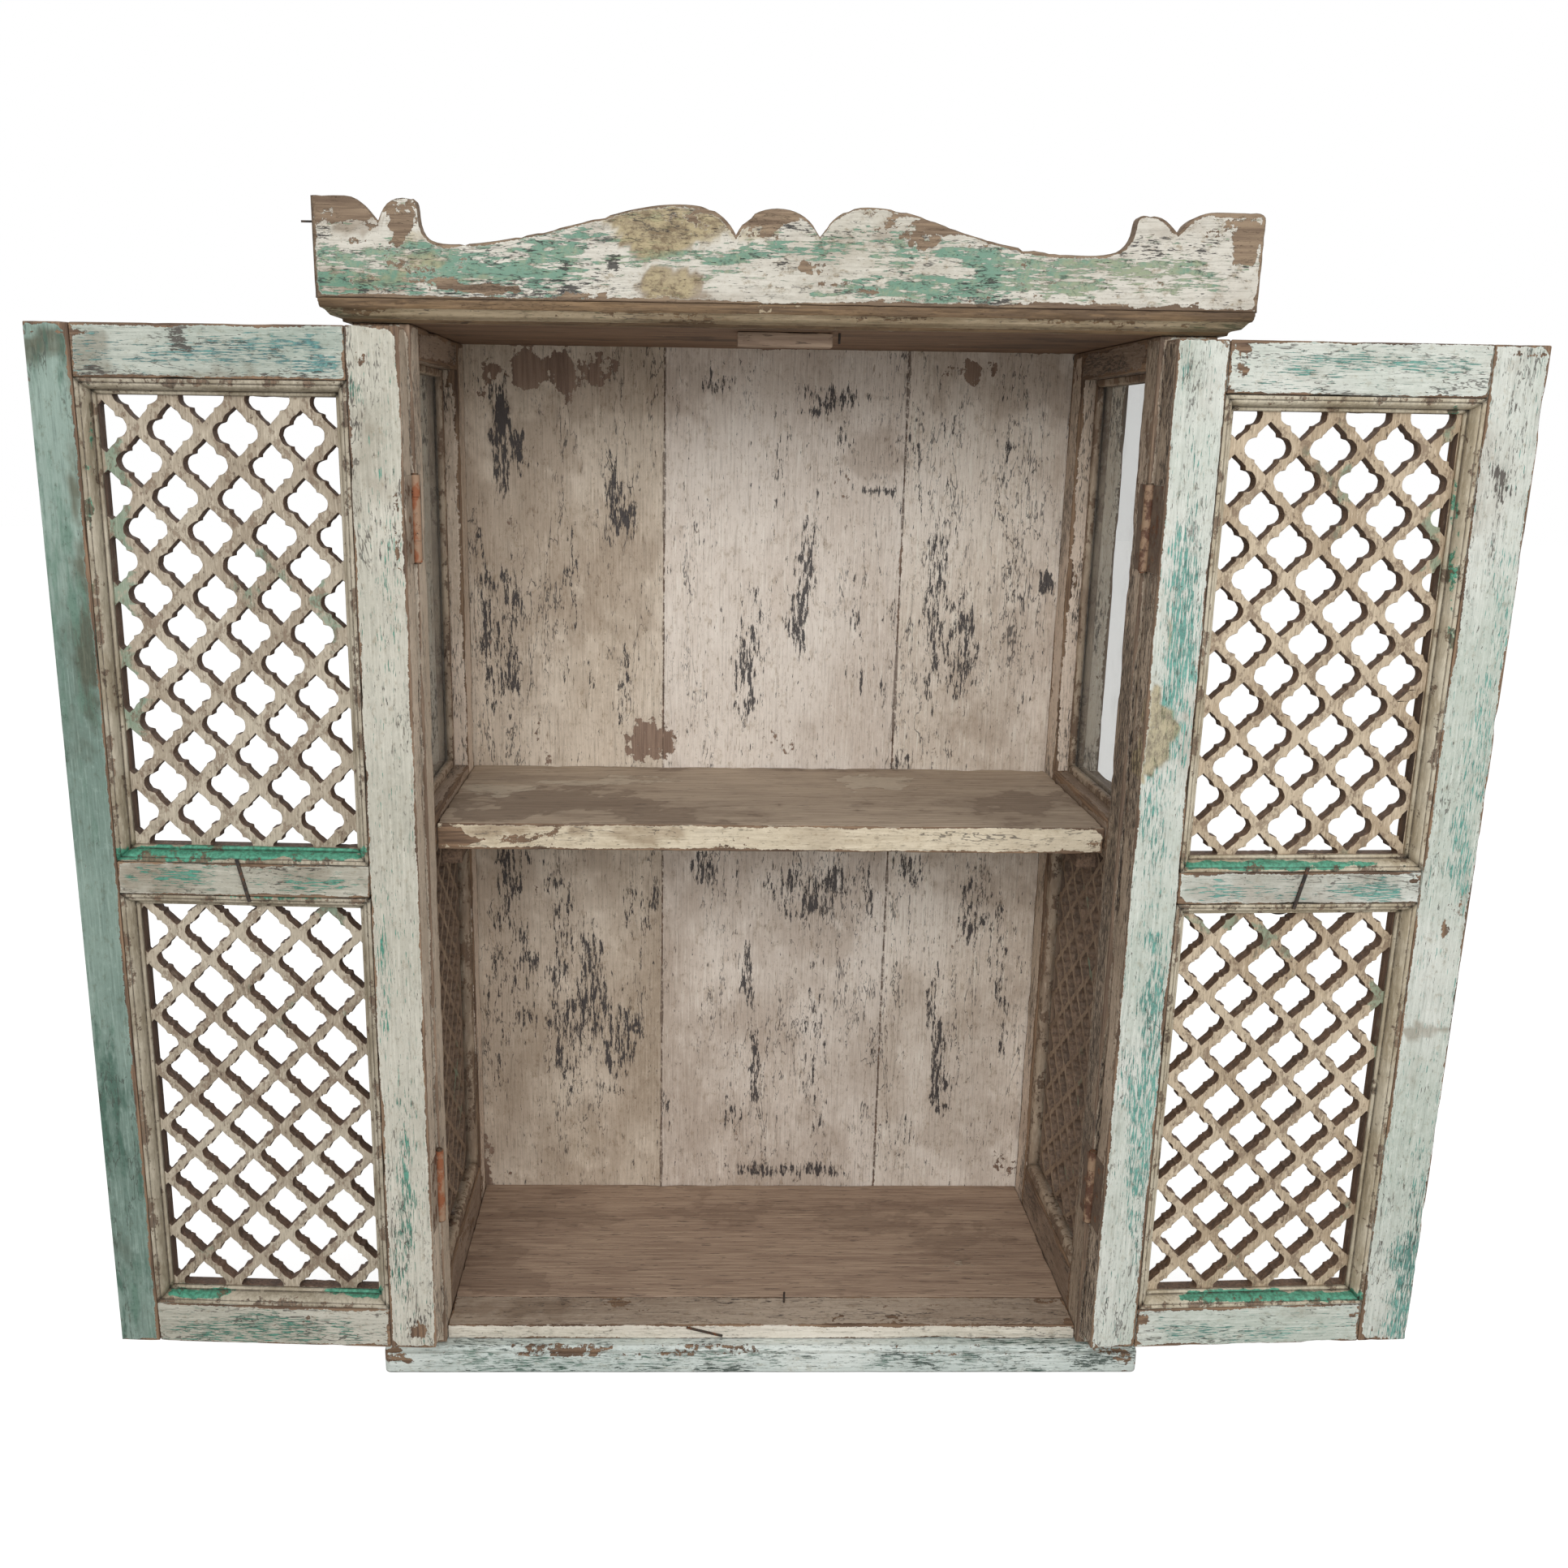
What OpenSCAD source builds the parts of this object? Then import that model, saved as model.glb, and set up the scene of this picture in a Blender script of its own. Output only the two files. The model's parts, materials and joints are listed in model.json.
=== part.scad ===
// Wall display cabinet: two pierced lattice doors, glazed sides above, pierced sides below,
// one shelf, a moulded plinth and cornice, and a scalloped crest board.
// X runs across the front, Y from the front posts back to the wall, Z up from the floor line.
// The doors are drawn open, as they stand at rest.

/* [Opening] */
// Width between the front posts
opening_w = 640; // [580:5:700]
// Clear height from the floor board to the ceiling
opening_h = 970; // [900:5:1040]
// Depth from the faces of the front posts to the back boards
inner_d = 276; // [240:2:310]

/* [Carcass] */
// Width of each post, seen from the front
post_w = 50; // [46:1:60]
// Depth of each front post
front_post_d = 36; // [30:1:44]
// Depth of each rear post
rear_post_d = 38; // [30:1:46]
// Thickness of the back boards
back_t = 12; // [8:1:16]
// Width of the middle back board
back_mid_w = 257; // [220:1:300]
// How far the middle back board sits to the right of the centre
back_mid_shift = 19; // [0:1:30]
// Thickness of the floor boards
floor_t = 16; // [12:1:20]
// Depth of the front floor plank
front_rail_d = 49; // [40:1:60]
// Setback of the front floor plank from the post faces
front_rail_setback = 6; // [2:1:10]
// Thickness of the top board
top_t = 18; // [16:1:22]

/* [Plinth] */
// Height of the plinth
plinth_h = 27; // [24:1:32]
// How far the plinth stands out past the posts
plinth_out = 11.5; // [8:0.5:16]
// Width of the plinth boards under the posts
plinth_board_w = 60; // [55:1:70]

/* [Cornice and crest] */
// Overhang of the cornice at its lower edge
cornice_low_out = 6; // [4:0.5:8]
// Overhang of the cornice at its upper edge
cornice_high_out = 22; // [19:0.5:26]
// Height of the crest board
crest_h = 80; // [70:1:95]
// Width of the flat ends of the crest
crest_end_w = 32; // [24:1:40]
// Width of the shoulders beside the flat ends
crest_shoulder_w = 31; // [24:1:36]
// Width of the small lobes
crest_lobe_w = 32; // [24:1:40]
// Depth of the notches beside the small lobes
crest_notch_h = 18; // [12:1:22]
// Depth of the long dips
crest_dip_h = 36; // [28:1:44]
// Width of the middle lobe
crest_mid_w = 70; // [54:2:90]
// Depth of the cusps beside the middle lobe
crest_cusp_h = 25; // [18:1:30]
// Thickness of the crest board
crest_t = 16; // [12:1:20]
// Side of the square blocks that hold the crest board
crest_block = 24; // [18:1:30]
// Height of the hanging rail on the top board
hanging_rail_h = 54; // [45:1:60]
// Thickness of the hanging rail
hanging_rail_t = 20; // [16:1:24]
// Distance between the two hanging holes
hanging_hole_gap = 400; // [300:5:460]
// Diameter of each hanging hole
hanging_hole_d = 6; // [5:0.5:8]

/* [Side frames] */
// Height of the side top rail
side_top_rail_h = 28; // [24:1:36]
// Height of the side middle rail
side_mid_rail_h = 32; // [28:1:40]
// Height of the top of the side middle rail above the floor board
side_mid_rail_z = 529; // [500:1:560]
// Height of the side bottom rail above the floor board
side_bottom_rail_h = 45; // [38:1:55]
// Thickness of the glass
glass_t = 3; // [3:0.5:5]
// Setback of the glass from the inner faces of the side rails
glass_setback = 22; // [18:1:26]
// Width of each glazing bead
bead_w = 7; // [5:1:10]
// Setback of the side lattice from the inner faces of the side rails
side_lattice_setback = 14; // [12:1:18]
// Width of the moulding round the side lattice
side_moulding_w = 12; // [9:1:15]

/* [Shelf] */
// Height of the shelf top above the floor board
shelf_z = 520; // [480:1:528]
// Thickness of the shelf
shelf_t = 27; // [20:1:32]
// Setback of the shelf front from the post faces
shelf_setback = 39.5; // [36:0.5:60]
// Side of the square cleats under the shelf
cleat = 20; // [15:1:26]

/* [Doors] */
// Thickness of the doors
door_t = 28; // [25:1:32]
// Gap between a door's edge and its post
door_gap = 1.5; // [1:0.1:2.5]
// Gap under the doors
door_gap_low = 4.5; // [3:0.5:8]
// Gap above the doors
door_gap_high = 4.5; // [3:0.5:8]
// Width of the hinge stiles
hinge_stile_w = 45; // [40:1:52]
// Width of the free stiles
free_stile_w = 44; // [40:1:52]
// Height of the door top rails
door_top_rail_h = 44.5; // [38:0.5:52]
// Height of the door middle rails
door_mid_rail_h = 31; // [28:0.5:40]
// Height of the door bottom rails
door_bottom_rail_h = 42.5; // [38:0.5:52]
// How far the right door laps behind the left one
lap_w = 6; // [4:0.5:9]
// Clearance of the lap where the doors meet
lap_gap = 0.6; // [0.4:0.1:1]
// Width of the moulding round each door lattice
moulding_w = 13; // [10:0.5:16]
// Angle of the open doors
open_angle = 182.5; // [170:0.5:183]

/* [Lattice] */
// Thickness of the lattice panels
lattice_t = 12; // [9:1:14]
// Depth of the outer faces of the doors' lattice behind the doors' outer faces
lattice_setback = 1.5; // [1:0.5:3]
// How far a lattice panel enters the grooves of its frame
tongue = 6; // [4:0.5:8]
// Rows of cells, in cell heights
jali_rows = 7; // [5:1:9]
// Cell spacing of the upper door lattice
upper_pitch = 56.5; // [52:0.5:64]
// Width of the lobed cells of the upper lattice
upper_cell_w = 37.6; // [32:0.2:40]
// Height of the pointed cells of the upper lattice
upper_cell_h = 42.4; // [36:0.2:44]
// Radius of the side lobes of the upper cells
upper_lobe_r = 8.2; // [6:0.2:9]
// Cell spacing of the lower door lattice
lower_pitch = 59; // [54:0.5:64]
// Width of the cells of the lower lattice
lower_cell_w = 40.8; // [34:0.2:43]
// Height of the cells of the lower lattice
lower_cell_h = 46.4; // [38:0.2:47]
// Radius of the side lobes of the lower cells
lower_lobe_r = 7.2; // [5:0.2:8]
// Cell spacing of the side lattice
side_pitch = 44; // [38:1:52]
// Rows of cells of the side lattice, in cell heights
side_jali_rows = 11; // [8:1:12]

/* [Hinges and pulls] */
// Length of each hinge
hinge_h = 75; // [60:1:90]
// Radius of the hinge knuckles
knuckle_r = 4.3; // [4:0.1:4.4]
// Radius of the hinge pins
hinge_pin_r = 2.2; // [1.8:0.1:2.4]
// Distance of the hinge pins in front of the post faces
pin_out = 4.8; // [4.8:0.1:6]
// Width of the hinge leaves
leaf_w = 22; // [18:1:24]
// Thickness of the hinge leaves
leaf_t = 1.2; // [1:0.1:1.4]
// Height of the middle of the lower hinges above the floor board
lower_hinge_z = 164; // [140:1:200]
// Height of the middle of the upper hinges above the floor board
upper_hinge_z = 807; // [760:1:830]
// Mean radius of the ring pulls
ring_r = 18; // [14:0.5:24]
// Radius of the ring pulls' wire
ring_wire_r = 2; // [1.5:0.1:2.2]
// Radius of the plates behind the ring pulls
rosette_r = 14; // [11:0.5:15]

/* [Old ironwork] */
// Height of the bent nail in the front floor plank
floor_nail_h = 12; // [8:1:16]
// Height of the nail under the ceiling
ceiling_nail_h = 9; // [6:1:14]
// Radius of the nails
nail_r = 1.1; // [0.9:0.1:1.4]
// Distance of the floor nail from the middle
floor_nail_x = 24; // [0:1:60]
// Distance of the staple's raised end from the middle
staple_x = 78; // [60:1:100]
// Length of the staple
staple_l = 38; // [28:1:44]
// Length of the wire stub at the left end of the crest
wire_l = 10; // [6:1:14]
// Radius of the wire stub
wire_r = 0.9; // [0.7:0.1:1.2]
// Depth of the wire stub below the crest's top
wire_drop = 20; // [14:1:26]

/* [Door stop] */
// Width of the door stop block under the ceiling
stop_w = 84; // [60:2:120]
// Height of the door stop block
stop_h = 13; // [8:1:20]
// Depth of the door stop block
stop_d = 16; // [12:1:24]

/* [Hidden] */
$fn = 32;

left = -1;
right = 1;
cut = 1;
// Open joint between boards that meet end to end
joint = 0.1;
half_open = opening_w / 2;
half_body = half_open + post_w;
floor_z = plinth_h + floor_t;
ceiling_z = floor_z + opening_h;
top_z = ceiling_z + top_t;
back_y = inner_d + back_t;
rear_post_y = inner_d - rear_post_d;
back_mid_from = back_mid_shift - back_mid_w / 2;
back_mid_to = back_mid_shift + back_mid_w / 2;
side_d = rear_post_y - front_post_d;
side_mid_top = floor_z + side_mid_rail_z;
side_bottom_top = floor_z + side_bottom_rail_h;
side_top_low = ceiling_z - side_top_rail_h;
side_mid_low = side_mid_top - side_mid_rail_h;
glass_h = side_top_low - side_mid_top;
side_panel_h = side_mid_low - side_bottom_top;
shelf_top = floor_z + shelf_z;
crest_face_y = -(cornice_high_out - 2);
crest_half = half_body + cornice_high_out + 2;

door_z = floor_z + door_gap_low;
door_h = opening_h - door_gap_low - door_gap_high;
left_door_w = half_open - door_gap - lap_gap / 2;
panel_h = (door_h - door_top_rail_h - door_mid_rail_h - door_bottom_rail_h) / 2;
lower_panel_z = door_bottom_rail_h;
mid_rail_z = lower_panel_z + panel_h;
upper_panel_z = mid_rail_z + door_mid_rail_h;
top_rail_z = upper_panel_z + panel_h;
panel_w = left_door_w - hinge_stile_w - free_stile_w;
moulding_y = lattice_setback + lattice_t;
moulding_d = door_t - moulding_y;
upper_cells = [upper_pitch, upper_cell_w, upper_cell_h, upper_lobe_r];
lower_cells = [lower_pitch, lower_cell_w, lower_cell_h, lower_lobe_r];
// Where the top row of cells starts, from the hinge side: upper and lower panel of each door
left_phases = [6.6, -2.5];
right_phases = [-2, 25];

hinge_zs = [floor_z + lower_hinge_z - hinge_h / 2, floor_z + upper_hinge_z - hinge_h / 2];
knuckle_gap = 0.3;
pin_clearance = 0.05;
pin_head_r = 3.2;
pin_head_t = 1.5;
screw_r = 1.6;
screw_head_r = 3.4;
screw_len = 14;
screw_offsets = [-26, 0, 26];
screw_y = 11;
pilot_gap = 0.05;

eye_wire_r = 1.5;
eye_r = 4.2;
eye_out = 7;
plate_t = 1.5;
shank_r = 1.8;
leg_l = 22;
leg_w = 3;
leg_t = 1.6;
leg_tilt = 13;
pull_u = hinge_stile_w + panel_w / 2;
pull_z = mid_rail_z + door_mid_rail_h / 2;

paint = [0.85, 0.82, 0.76];
green_paint = [0.62, 0.72, 0.64];
tan_paint = [0.74, 0.68, 0.56];
bare_wood = [0.42, 0.34, 0.28];
board_paint = [0.76, 0.70, 0.62];
iron = [0.30, 0.26, 0.23];
rust = [0.52, 0.33, 0.20];
clear = [0.84, 0.88, 0.90, 0.4];

// Curves and shapes shared by several parts

function bezier(a, b, c, d, steps = 8) = [for (i = [0:steps - 1]) let (t = i / steps, s = 1 - t)
    s * s * s * a + 3 * s * s * t * b + 3 * s * t * t * c + t * t * t * d];
function flip_x(points) = [for (i = [len(points) - 1:-1:0]) [-points[i][0], points[i][1]]];
function flip_y(points) = [for (i = [len(points) - 1:-1:0]) [points[i][0], -points[i][1]]];

// Draws its children as they are on the right, and mirrored on the left
module on_side(side) {
    if (side > 0) children();
    else mirror([1, 0, 0]) children();
}

// Stands a flat shape up in the XZ plane, its thickness running towards +Y from y
module upright(y, thickness) {
    translate([0, y + thickness, 0]) rotate([90, 0, 0]) linear_extrude(thickness) children();
}

// One pierced cell: pointed above and below, stepped shoulders, a round lobe at each side
module jali_cell(cell_w, cell_h, lobe_r) {
    w = cell_w / 2;
    h = cell_h / 2;
    shoulder = [[0, h], [0.29 * w, 0.77 * h], [0.58 * w, 0.60 * h], [0.63 * w, 0.43 * h],
        [0.78 * w, 0.34 * h]];
    right_half = concat(shoulder, flip_y(shoulder));
    polygon(concat(right_half, flip_x([for (p = right_half) if (p[0] > 0) p])));
    for (s = [-1, 1]) translate([s * (w - lobe_r), 0]) circle(lobe_r, $fn = 24);
}

// A pierced sheet with a plain border; rows of cells are staggered by half a cell
module jali_sheet(w, h, border, rows, cells, phase) {
    pitch = cells[0];
    row_h = (h - 2 * border) / rows;
    columns = ceil(w / pitch) + 1;
    difference() {
        square([w, h]);
        intersection() {
            translate([border, border]) square([w - 2 * border, h - 2 * border]);
            for (row = [0:2 * rows])
                for (column = [-1:columns]) {
                    x = border + phase + (column + (row % 2) / 2) * pitch;
                    if (x > border - cells[1] / 2 + cut && x < w - border + cells[1] / 2 - cut)
                        translate([x, h - border - row * row_h / 2])
                            jali_cell(cells[1], cells[2], cells[3]);
                }
        }
    }
}

// One strip of a moulding along X, its ends mitred, its section's x running into the opening
module mitred_strip(length, width, depth) {
    intersection() {
        rotate([90, 0, 90]) linear_extrude(length) children();
        linear_extrude(depth) polygon([[joint, 0], [length - joint, 0],
            [length - width - joint, width], [width + joint, width]]);
    }
}

// Four mitred strips inside a w by h opening that lies in the XY plane
module mitred_frame(w, h, width, depth) {
    mitred_strip(w, width, depth) children();
    translate([w, 0, 0]) rotate([0, 0, 90]) mitred_strip(h, width, depth) children();
    translate([w, h, 0]) rotate([0, 0, 180]) mitred_strip(w, width, depth) children();
    translate([0, h, 0]) rotate([0, 0, 270]) mitred_strip(h, width, depth) children();
}

// Section of a panel moulding: a bevel, a quirk and a bead beside the lattice
module moulding_section(width, depth) {
    bead_r = width * 0.15;
    polygon([[0, 0], [width, 0], [width, bead_r], [width - 2 * bead_r, bead_r],
        [width * 0.6, bead_r * 1.3], [width * 0.2, depth - 1.2], [width * 0.1, depth], [0, depth]]);
    translate([width - bead_r, bead_r]) circle(bead_r);
}

// Plinth: a moulded front board on a frame of plain boards

module plinth_front() {
    half = half_body + plinth_out;
    step_z = plinth_h * 0.84;
    color(paint) intersection() {
        translate([-half, 0, 0]) rotate([90, 0, 90]) linear_extrude(2 * half) difference() {
            polygon([[-plinth_out, 0], [plinth_board_w - plinth_out, 0],
                [plinth_board_w - plinth_out, plinth_h], [-plinth_out * 0.35, plinth_h],
                [-plinth_out * 0.5, step_z], [-plinth_out, step_z]]);
            translate([-plinth_out * 0.72, step_z + 1.6]) circle(2);
        }
        upright(-plinth_out - cut, plinth_board_w + 2 * cut) rounded_end_bar(2 * half, plinth_h);
    }
}

// The plinth's front outline, its lower corners rounder than the upper ones
module rounded_end_bar(w, h) {
    low_r = h * 0.24;
    high_r = h * 0.12;
    translate([-w / 2 + low_r, 0]) square([w - 2 * low_r, h - high_r]);
    translate([-w / 2, low_r]) square([w, h - low_r - high_r]);
    translate([-w / 2 + high_r, h / 2]) square([w - 2 * high_r, h / 2]);
    for (s = [-1, 1]) {
        translate([s * (w / 2 - low_r), low_r]) circle(low_r);
        translate([s * (w / 2 - high_r), h - high_r]) circle(high_r);
    }
}

module plinth_frame() {
    front = plinth_board_w - plinth_out;
    half = half_body + plinth_out;
    color(bare_wood) {
        for (s = [left, right]) on_side(s)
            translate([half - plinth_board_w, front, 0])
                cube([plinth_board_w, back_y - front, plinth_h]);
        translate([plinth_board_w - half + joint, back_y - plinth_board_w, 0])
            cube([2 * (half - plinth_board_w - joint), plinth_board_w, plinth_h]);
    }
}

// Floor, posts, shelf and back

module front_rail() {
    color(paint) translate([-half_open, front_rail_setback, plinth_h])
        cube([opening_w, front_rail_d, floor_t]);
}

module floor_board() {
    front = front_rail_setback + front_rail_d;
    color(bare_wood) translate([-half_open, front, plinth_h])
        cube([opening_w, inner_d - front, floor_t]);
}

module front_post(side) {
    color(paint) on_side(side) difference() {
        translate([half_open, 0, plinth_h]) cube([post_w, front_post_d, ceiling_z - plinth_h]);
        for (z = hinge_zs) {
            translate([half_open - cut, -cut, z]) cube([leaf_t + cut, leaf_w + cut, hinge_h]);
            leaf_screw_places(z) translate([half_open, screw_y, 0])
                rotate([0, 90, 0]) cylinder(screw_len, r = screw_r + pilot_gap);
        }
    }
}

module rear_post(side) {
    color(bare_wood) on_side(side) translate([half_open, rear_post_y, plinth_h])
        cube([post_w, rear_post_d, ceiling_z - plinth_h]);
}

module shelf() {
    color(tan_paint) translate([-half_open, shelf_setback, shelf_top - shelf_t])
        cube([opening_w, inner_d - shelf_setback, shelf_t]);
}

// One cleat at each side of the shelf, fixed to the posts and the middle rail
module shelf_cleats() {
    color(bare_wood) for (s = [left, right]) on_side(s)
        translate([half_open - cleat, shelf_setback + cleat, shelf_top - shelf_t - cleat])
            cube([cleat, inner_d - shelf_setback - cleat, cleat]);
}

module back_board(from_x, to_x) {
    color(board_paint) translate([from_x, inner_d, plinth_h])
        cube([to_x - from_x, back_t, ceiling_z - plinth_h]);
}

module back_board_left() back_board(-half_body, back_mid_from);
module back_board_middle() back_board(back_mid_from, back_mid_to);
module back_board_right() back_board(back_mid_to, half_body);

module top_board() {
    color(bare_wood) translate([-half_body, 0, ceiling_z])
        cube([2 * half_body, back_y, top_t]);
}

// The rail on the top board that takes the two wall screws
module hanging_rail() {
    color(bare_wood) difference() {
        translate([-half_open, back_y - hanging_rail_t, top_z])
            cube([opening_w, hanging_rail_t, hanging_rail_h]);
        for (s = [-1, 1])
            translate([s * hanging_hole_gap / 2, back_y + cut, top_z + hanging_rail_h / 2])
                rotate([90, 0, 0]) cylinder(hanging_rail_t + 2 * cut, d = hanging_hole_d);
    }
}

module door_stop() {
    color(bare_wood) translate([-stop_w / 2, door_t + 1, ceiling_z - stop_h])
        cube([stop_w, stop_d, stop_h]);
}

// Side frames: rails between the posts, glass above, pierced panel below

module side_rails(side) {
    color(bare_wood) on_side(side) {
        for (span = [[side_top_low, ceiling_z], [side_mid_low, side_mid_top],
                [plinth_h, side_bottom_top]])
            translate([half_open, front_post_d, span[0]]) cube([post_w, side_d, span[1] - span[0]]);
    }
}

// Lays a side panel's own XY plane into the YZ plane, its height running outwards
module in_side_frame(side, setback, low_z) {
    on_side(side) translate([half_open + setback, front_post_d, low_z])
        rotate([90, 0, 90]) children();
}

module glass(side) {
    color(clear) in_side_frame(side, glass_setback, side_mid_top)
        cube([side_d, glass_h, glass_t]);
}

// Square beads on both faces of the glass
module glazing_beads(side) {
    outer = glass_setback + glass_t;
    color(bare_wood) {
        in_side_frame(side, glass_setback - bead_w, side_mid_top)
            mitred_frame(side_d, glass_h, bead_w, bead_w) square(bead_w);
        in_side_frame(side, outer, side_mid_top)
            mitred_frame(side_d, glass_h, bead_w, bead_w) square(bead_w);
    }
}

module side_lattice(side) {
    row_h = side_panel_h / side_jali_rows;
    cells = [side_pitch, side_pitch * 0.70, row_h * 0.80, row_h * 0.14];
    color(tan_paint) in_side_frame(side, side_lattice_setback, side_bottom_top)
        linear_extrude(lattice_t)
            jali_sheet(side_d, side_panel_h, side_moulding_w, side_jali_rows, cells, 0);
}

// A moulding on the inner face of the side lattice and a bead on the outer one
module side_mouldings(side) {
    depth = side_lattice_setback - 2;
    outer = side_lattice_setback + lattice_t;
    color(bare_wood) {
        in_side_frame(side, side_lattice_setback - depth, side_bottom_top)
            translate([0, 0, depth]) mirror([0, 0, 1])
                mitred_frame(side_d, side_panel_h, side_moulding_w, depth)
                    moulding_section(side_moulding_w, depth);
        in_side_frame(side, outer, side_bottom_top)
            mitred_frame(side_d, side_panel_h, bead_w, bead_w) square(bead_w);
    }
}

// Cornice and crest

module cornice_section() {
    low = cornice_low_out;
    high = cornice_high_out;
    rise = top_t;
    difference() {
        polygon([[0, 0], [low, 0], [low, rise * 0.14], [low + 2, rise * 0.2],
            [low + (high - low) * 0.5, rise * 0.24], [high - 1, rise * 0.7],
            [high - 1, rise * 0.78], [high, rise * 0.82], [high, rise], [0, rise]]);
        translate([high - 1, rise * 0.24]) circle(rise * 0.32);
    }
}

// The cornice along the front, mitred at both ends
module cornice_front() {
    out = cornice_high_out;
    color(tan_paint) intersection() {
        translate([-half_body - out, 0, ceiling_z]) mirror([0, 1, 0]) rotate([90, 0, 90])
            linear_extrude(2 * (half_body + out)) cornice_section();
        translate([0, 0, ceiling_z]) linear_extrude(top_t)
            polygon([[-half_body - out, -out], [half_body + out, -out], [half_body, 0],
                [-half_body, 0]]);
    }
}

module cornice_returns() {
    out = cornice_high_out;
    color(tan_paint) for (s = [left, right]) on_side(s) intersection() {
        translate([half_body, back_y, ceiling_z]) rotate([90, 0, 0])
            linear_extrude(back_y + out) cornice_section();
        translate([0, 0, ceiling_z]) linear_extrude(top_t)
            polygon([[half_body, 0], [half_body + out, -out], [half_body + out, back_y],
                [half_body, back_y]]);
    }
}

// Half of the crest's scalloped top edge, from its outer end to the middle, as drops below the top
shoulder_x = crest_half - crest_end_w;
lobe_x = shoulder_x - crest_shoulder_w;
dip_x = lobe_x - crest_lobe_w;
low_x = dip_x - 0.77 * crest_shoulder_w;
swell_x = crest_half * 0.305;
cusp_x = crest_mid_w / 2;
lobe_lift = crest_notch_h / 9;
crest_edge = concat(
    [[crest_half, 0]],
    bezier([shoulder_x, 0], [shoulder_x - 0.39 * crest_shoulder_w, 0],
        [lobe_x + 0.48 * crest_shoulder_w, -crest_notch_h], [lobe_x, -crest_notch_h]),
    bezier([lobe_x, -crest_notch_h], [lobe_x, lobe_lift], [dip_x, lobe_lift],
        [dip_x, -0.78 * crest_notch_h]),
    bezier([dip_x, -0.78 * crest_notch_h], [dip_x, -0.83 * crest_dip_h],
        [dip_x - 0.35 * crest_shoulder_w, -crest_dip_h], [low_x, -crest_dip_h]),
    bezier([low_x, -crest_dip_h], [crest_half * 0.56, -crest_dip_h],
        [crest_half * 0.40, -0.61 * crest_dip_h], [swell_x, -0.19 * crest_dip_h]),
    bezier([swell_x, -0.19 * crest_dip_h], [crest_half * 0.25, lobe_lift],
        [1.71 * cusp_x, lobe_lift], [cusp_x, -crest_cusp_h]),
    bezier([cusp_x, -crest_cusp_h], [0.91 * cusp_x, -0.32 * crest_cusp_h],
        [0.46 * cusp_x, -0.12 * crest_cusp_h], [0, -0.12 * crest_cusp_h]));

module crest_board() {
    raised = [for (p = crest_edge) [p[0], crest_h + p[1]]];
    color(paint) translate([0, 0, top_z]) upright(crest_face_y, crest_t)
        polygon(concat([[-crest_half, 0], [crest_half, 0]], raised, flip_x(raised)));
}

module crest_blocks() {
    color(bare_wood) for (x = [-0.75, 0, 0.75] * half_body)
        translate([x - crest_block / 2, crest_face_y + crest_t, top_z])
            cube([crest_block, crest_block, crest_block]);
}

// Old ironwork left in the wood

// A nail and a staple in the front floor plank, and a nail in the ceiling beside the door stop
module old_nails() {
    plank_back = front_rail_setback + front_rail_d;
    color(iron) {
        translate([floor_nail_x, plank_back - leaf_w / 2, floor_z])
            cylinder(floor_nail_h, r = nail_r);
        translate([-staple_x, front_rail_setback - leg_t, floor_z - leg_w]) rotate([0, 15, 0])
            cube([staple_l, leg_t, leg_w - 1]);
        translate([stop_w / 2 + 2 * leg_w, door_t + stop_d / 2, ceiling_z - ceiling_nail_h])
            cylinder(ceiling_nail_h, r = nail_r);
    }
}

// A short stub of wire at the left end of the crest
module crest_wire() {
    color(iron) translate([-crest_half, crest_face_y + crest_t / 2, top_z + crest_h - wire_drop])
        rotate([0, -90, 0]) cylinder(wire_l, r = wire_r);
}

// Doors: drawn closed in their own frame, hinge edge at x = 0, outer face at y = 0, foot at z = 0

// Hangs a door's own frame on its pin and swings it open
module hang(side) {
    on_side(-side) translate([-half_open, -pin_out, door_z])
        rotate([0, 0, -open_angle]) translate([door_gap, pin_out, 0]) children();
}

// Grooves in a stile for both lattice panels, their open side towards the panels
module stile_grooves(x) {
    for (z = [lower_panel_z, upper_panel_z])
        translate([x, lattice_setback, z - tongue]) cube([tongue, lattice_t, panel_h + 2 * tongue]);
}

module hinge_stile(side) {
    color(paint) hang(side) difference() {
        cube([hinge_stile_w, door_t, door_h]);
        stile_grooves(hinge_stile_w - tongue);
        for (z = hinge_zs) {
            translate([-cut, -cut, z - door_z]) cube([leaf_t + cut, leaf_w + cut, hinge_h]);
            leaf_screw_places(z - door_z) translate([0, screw_y, 0])
                rotate([0, 90, 0]) cylinder(screw_len, r = screw_r + pilot_gap);
        }
    }
}

// The left door is rebated on its inner face, and the right door laps behind it
module free_stile(side) {
    color(side == left ? green_paint : paint) hang(side) difference() {
        translate([hinge_stile_w + panel_w, 0, 0])
            cube([free_stile_w + (side == left ? 0 : lap_w), door_t, door_h]);
        stile_grooves(hinge_stile_w + panel_w);
        if (side == left) translate([left_door_w - lap_w - lap_gap, door_t / 2, -cut])
            cube([lap_w + 2 * lap_gap, door_t, door_h + 2 * cut]);
        if (side == right) translate([left_door_w, -cut, -cut])
            cube([lap_w + cut, door_t / 2 + lap_gap + cut, door_h + 2 * cut]);
    }
}

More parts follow.
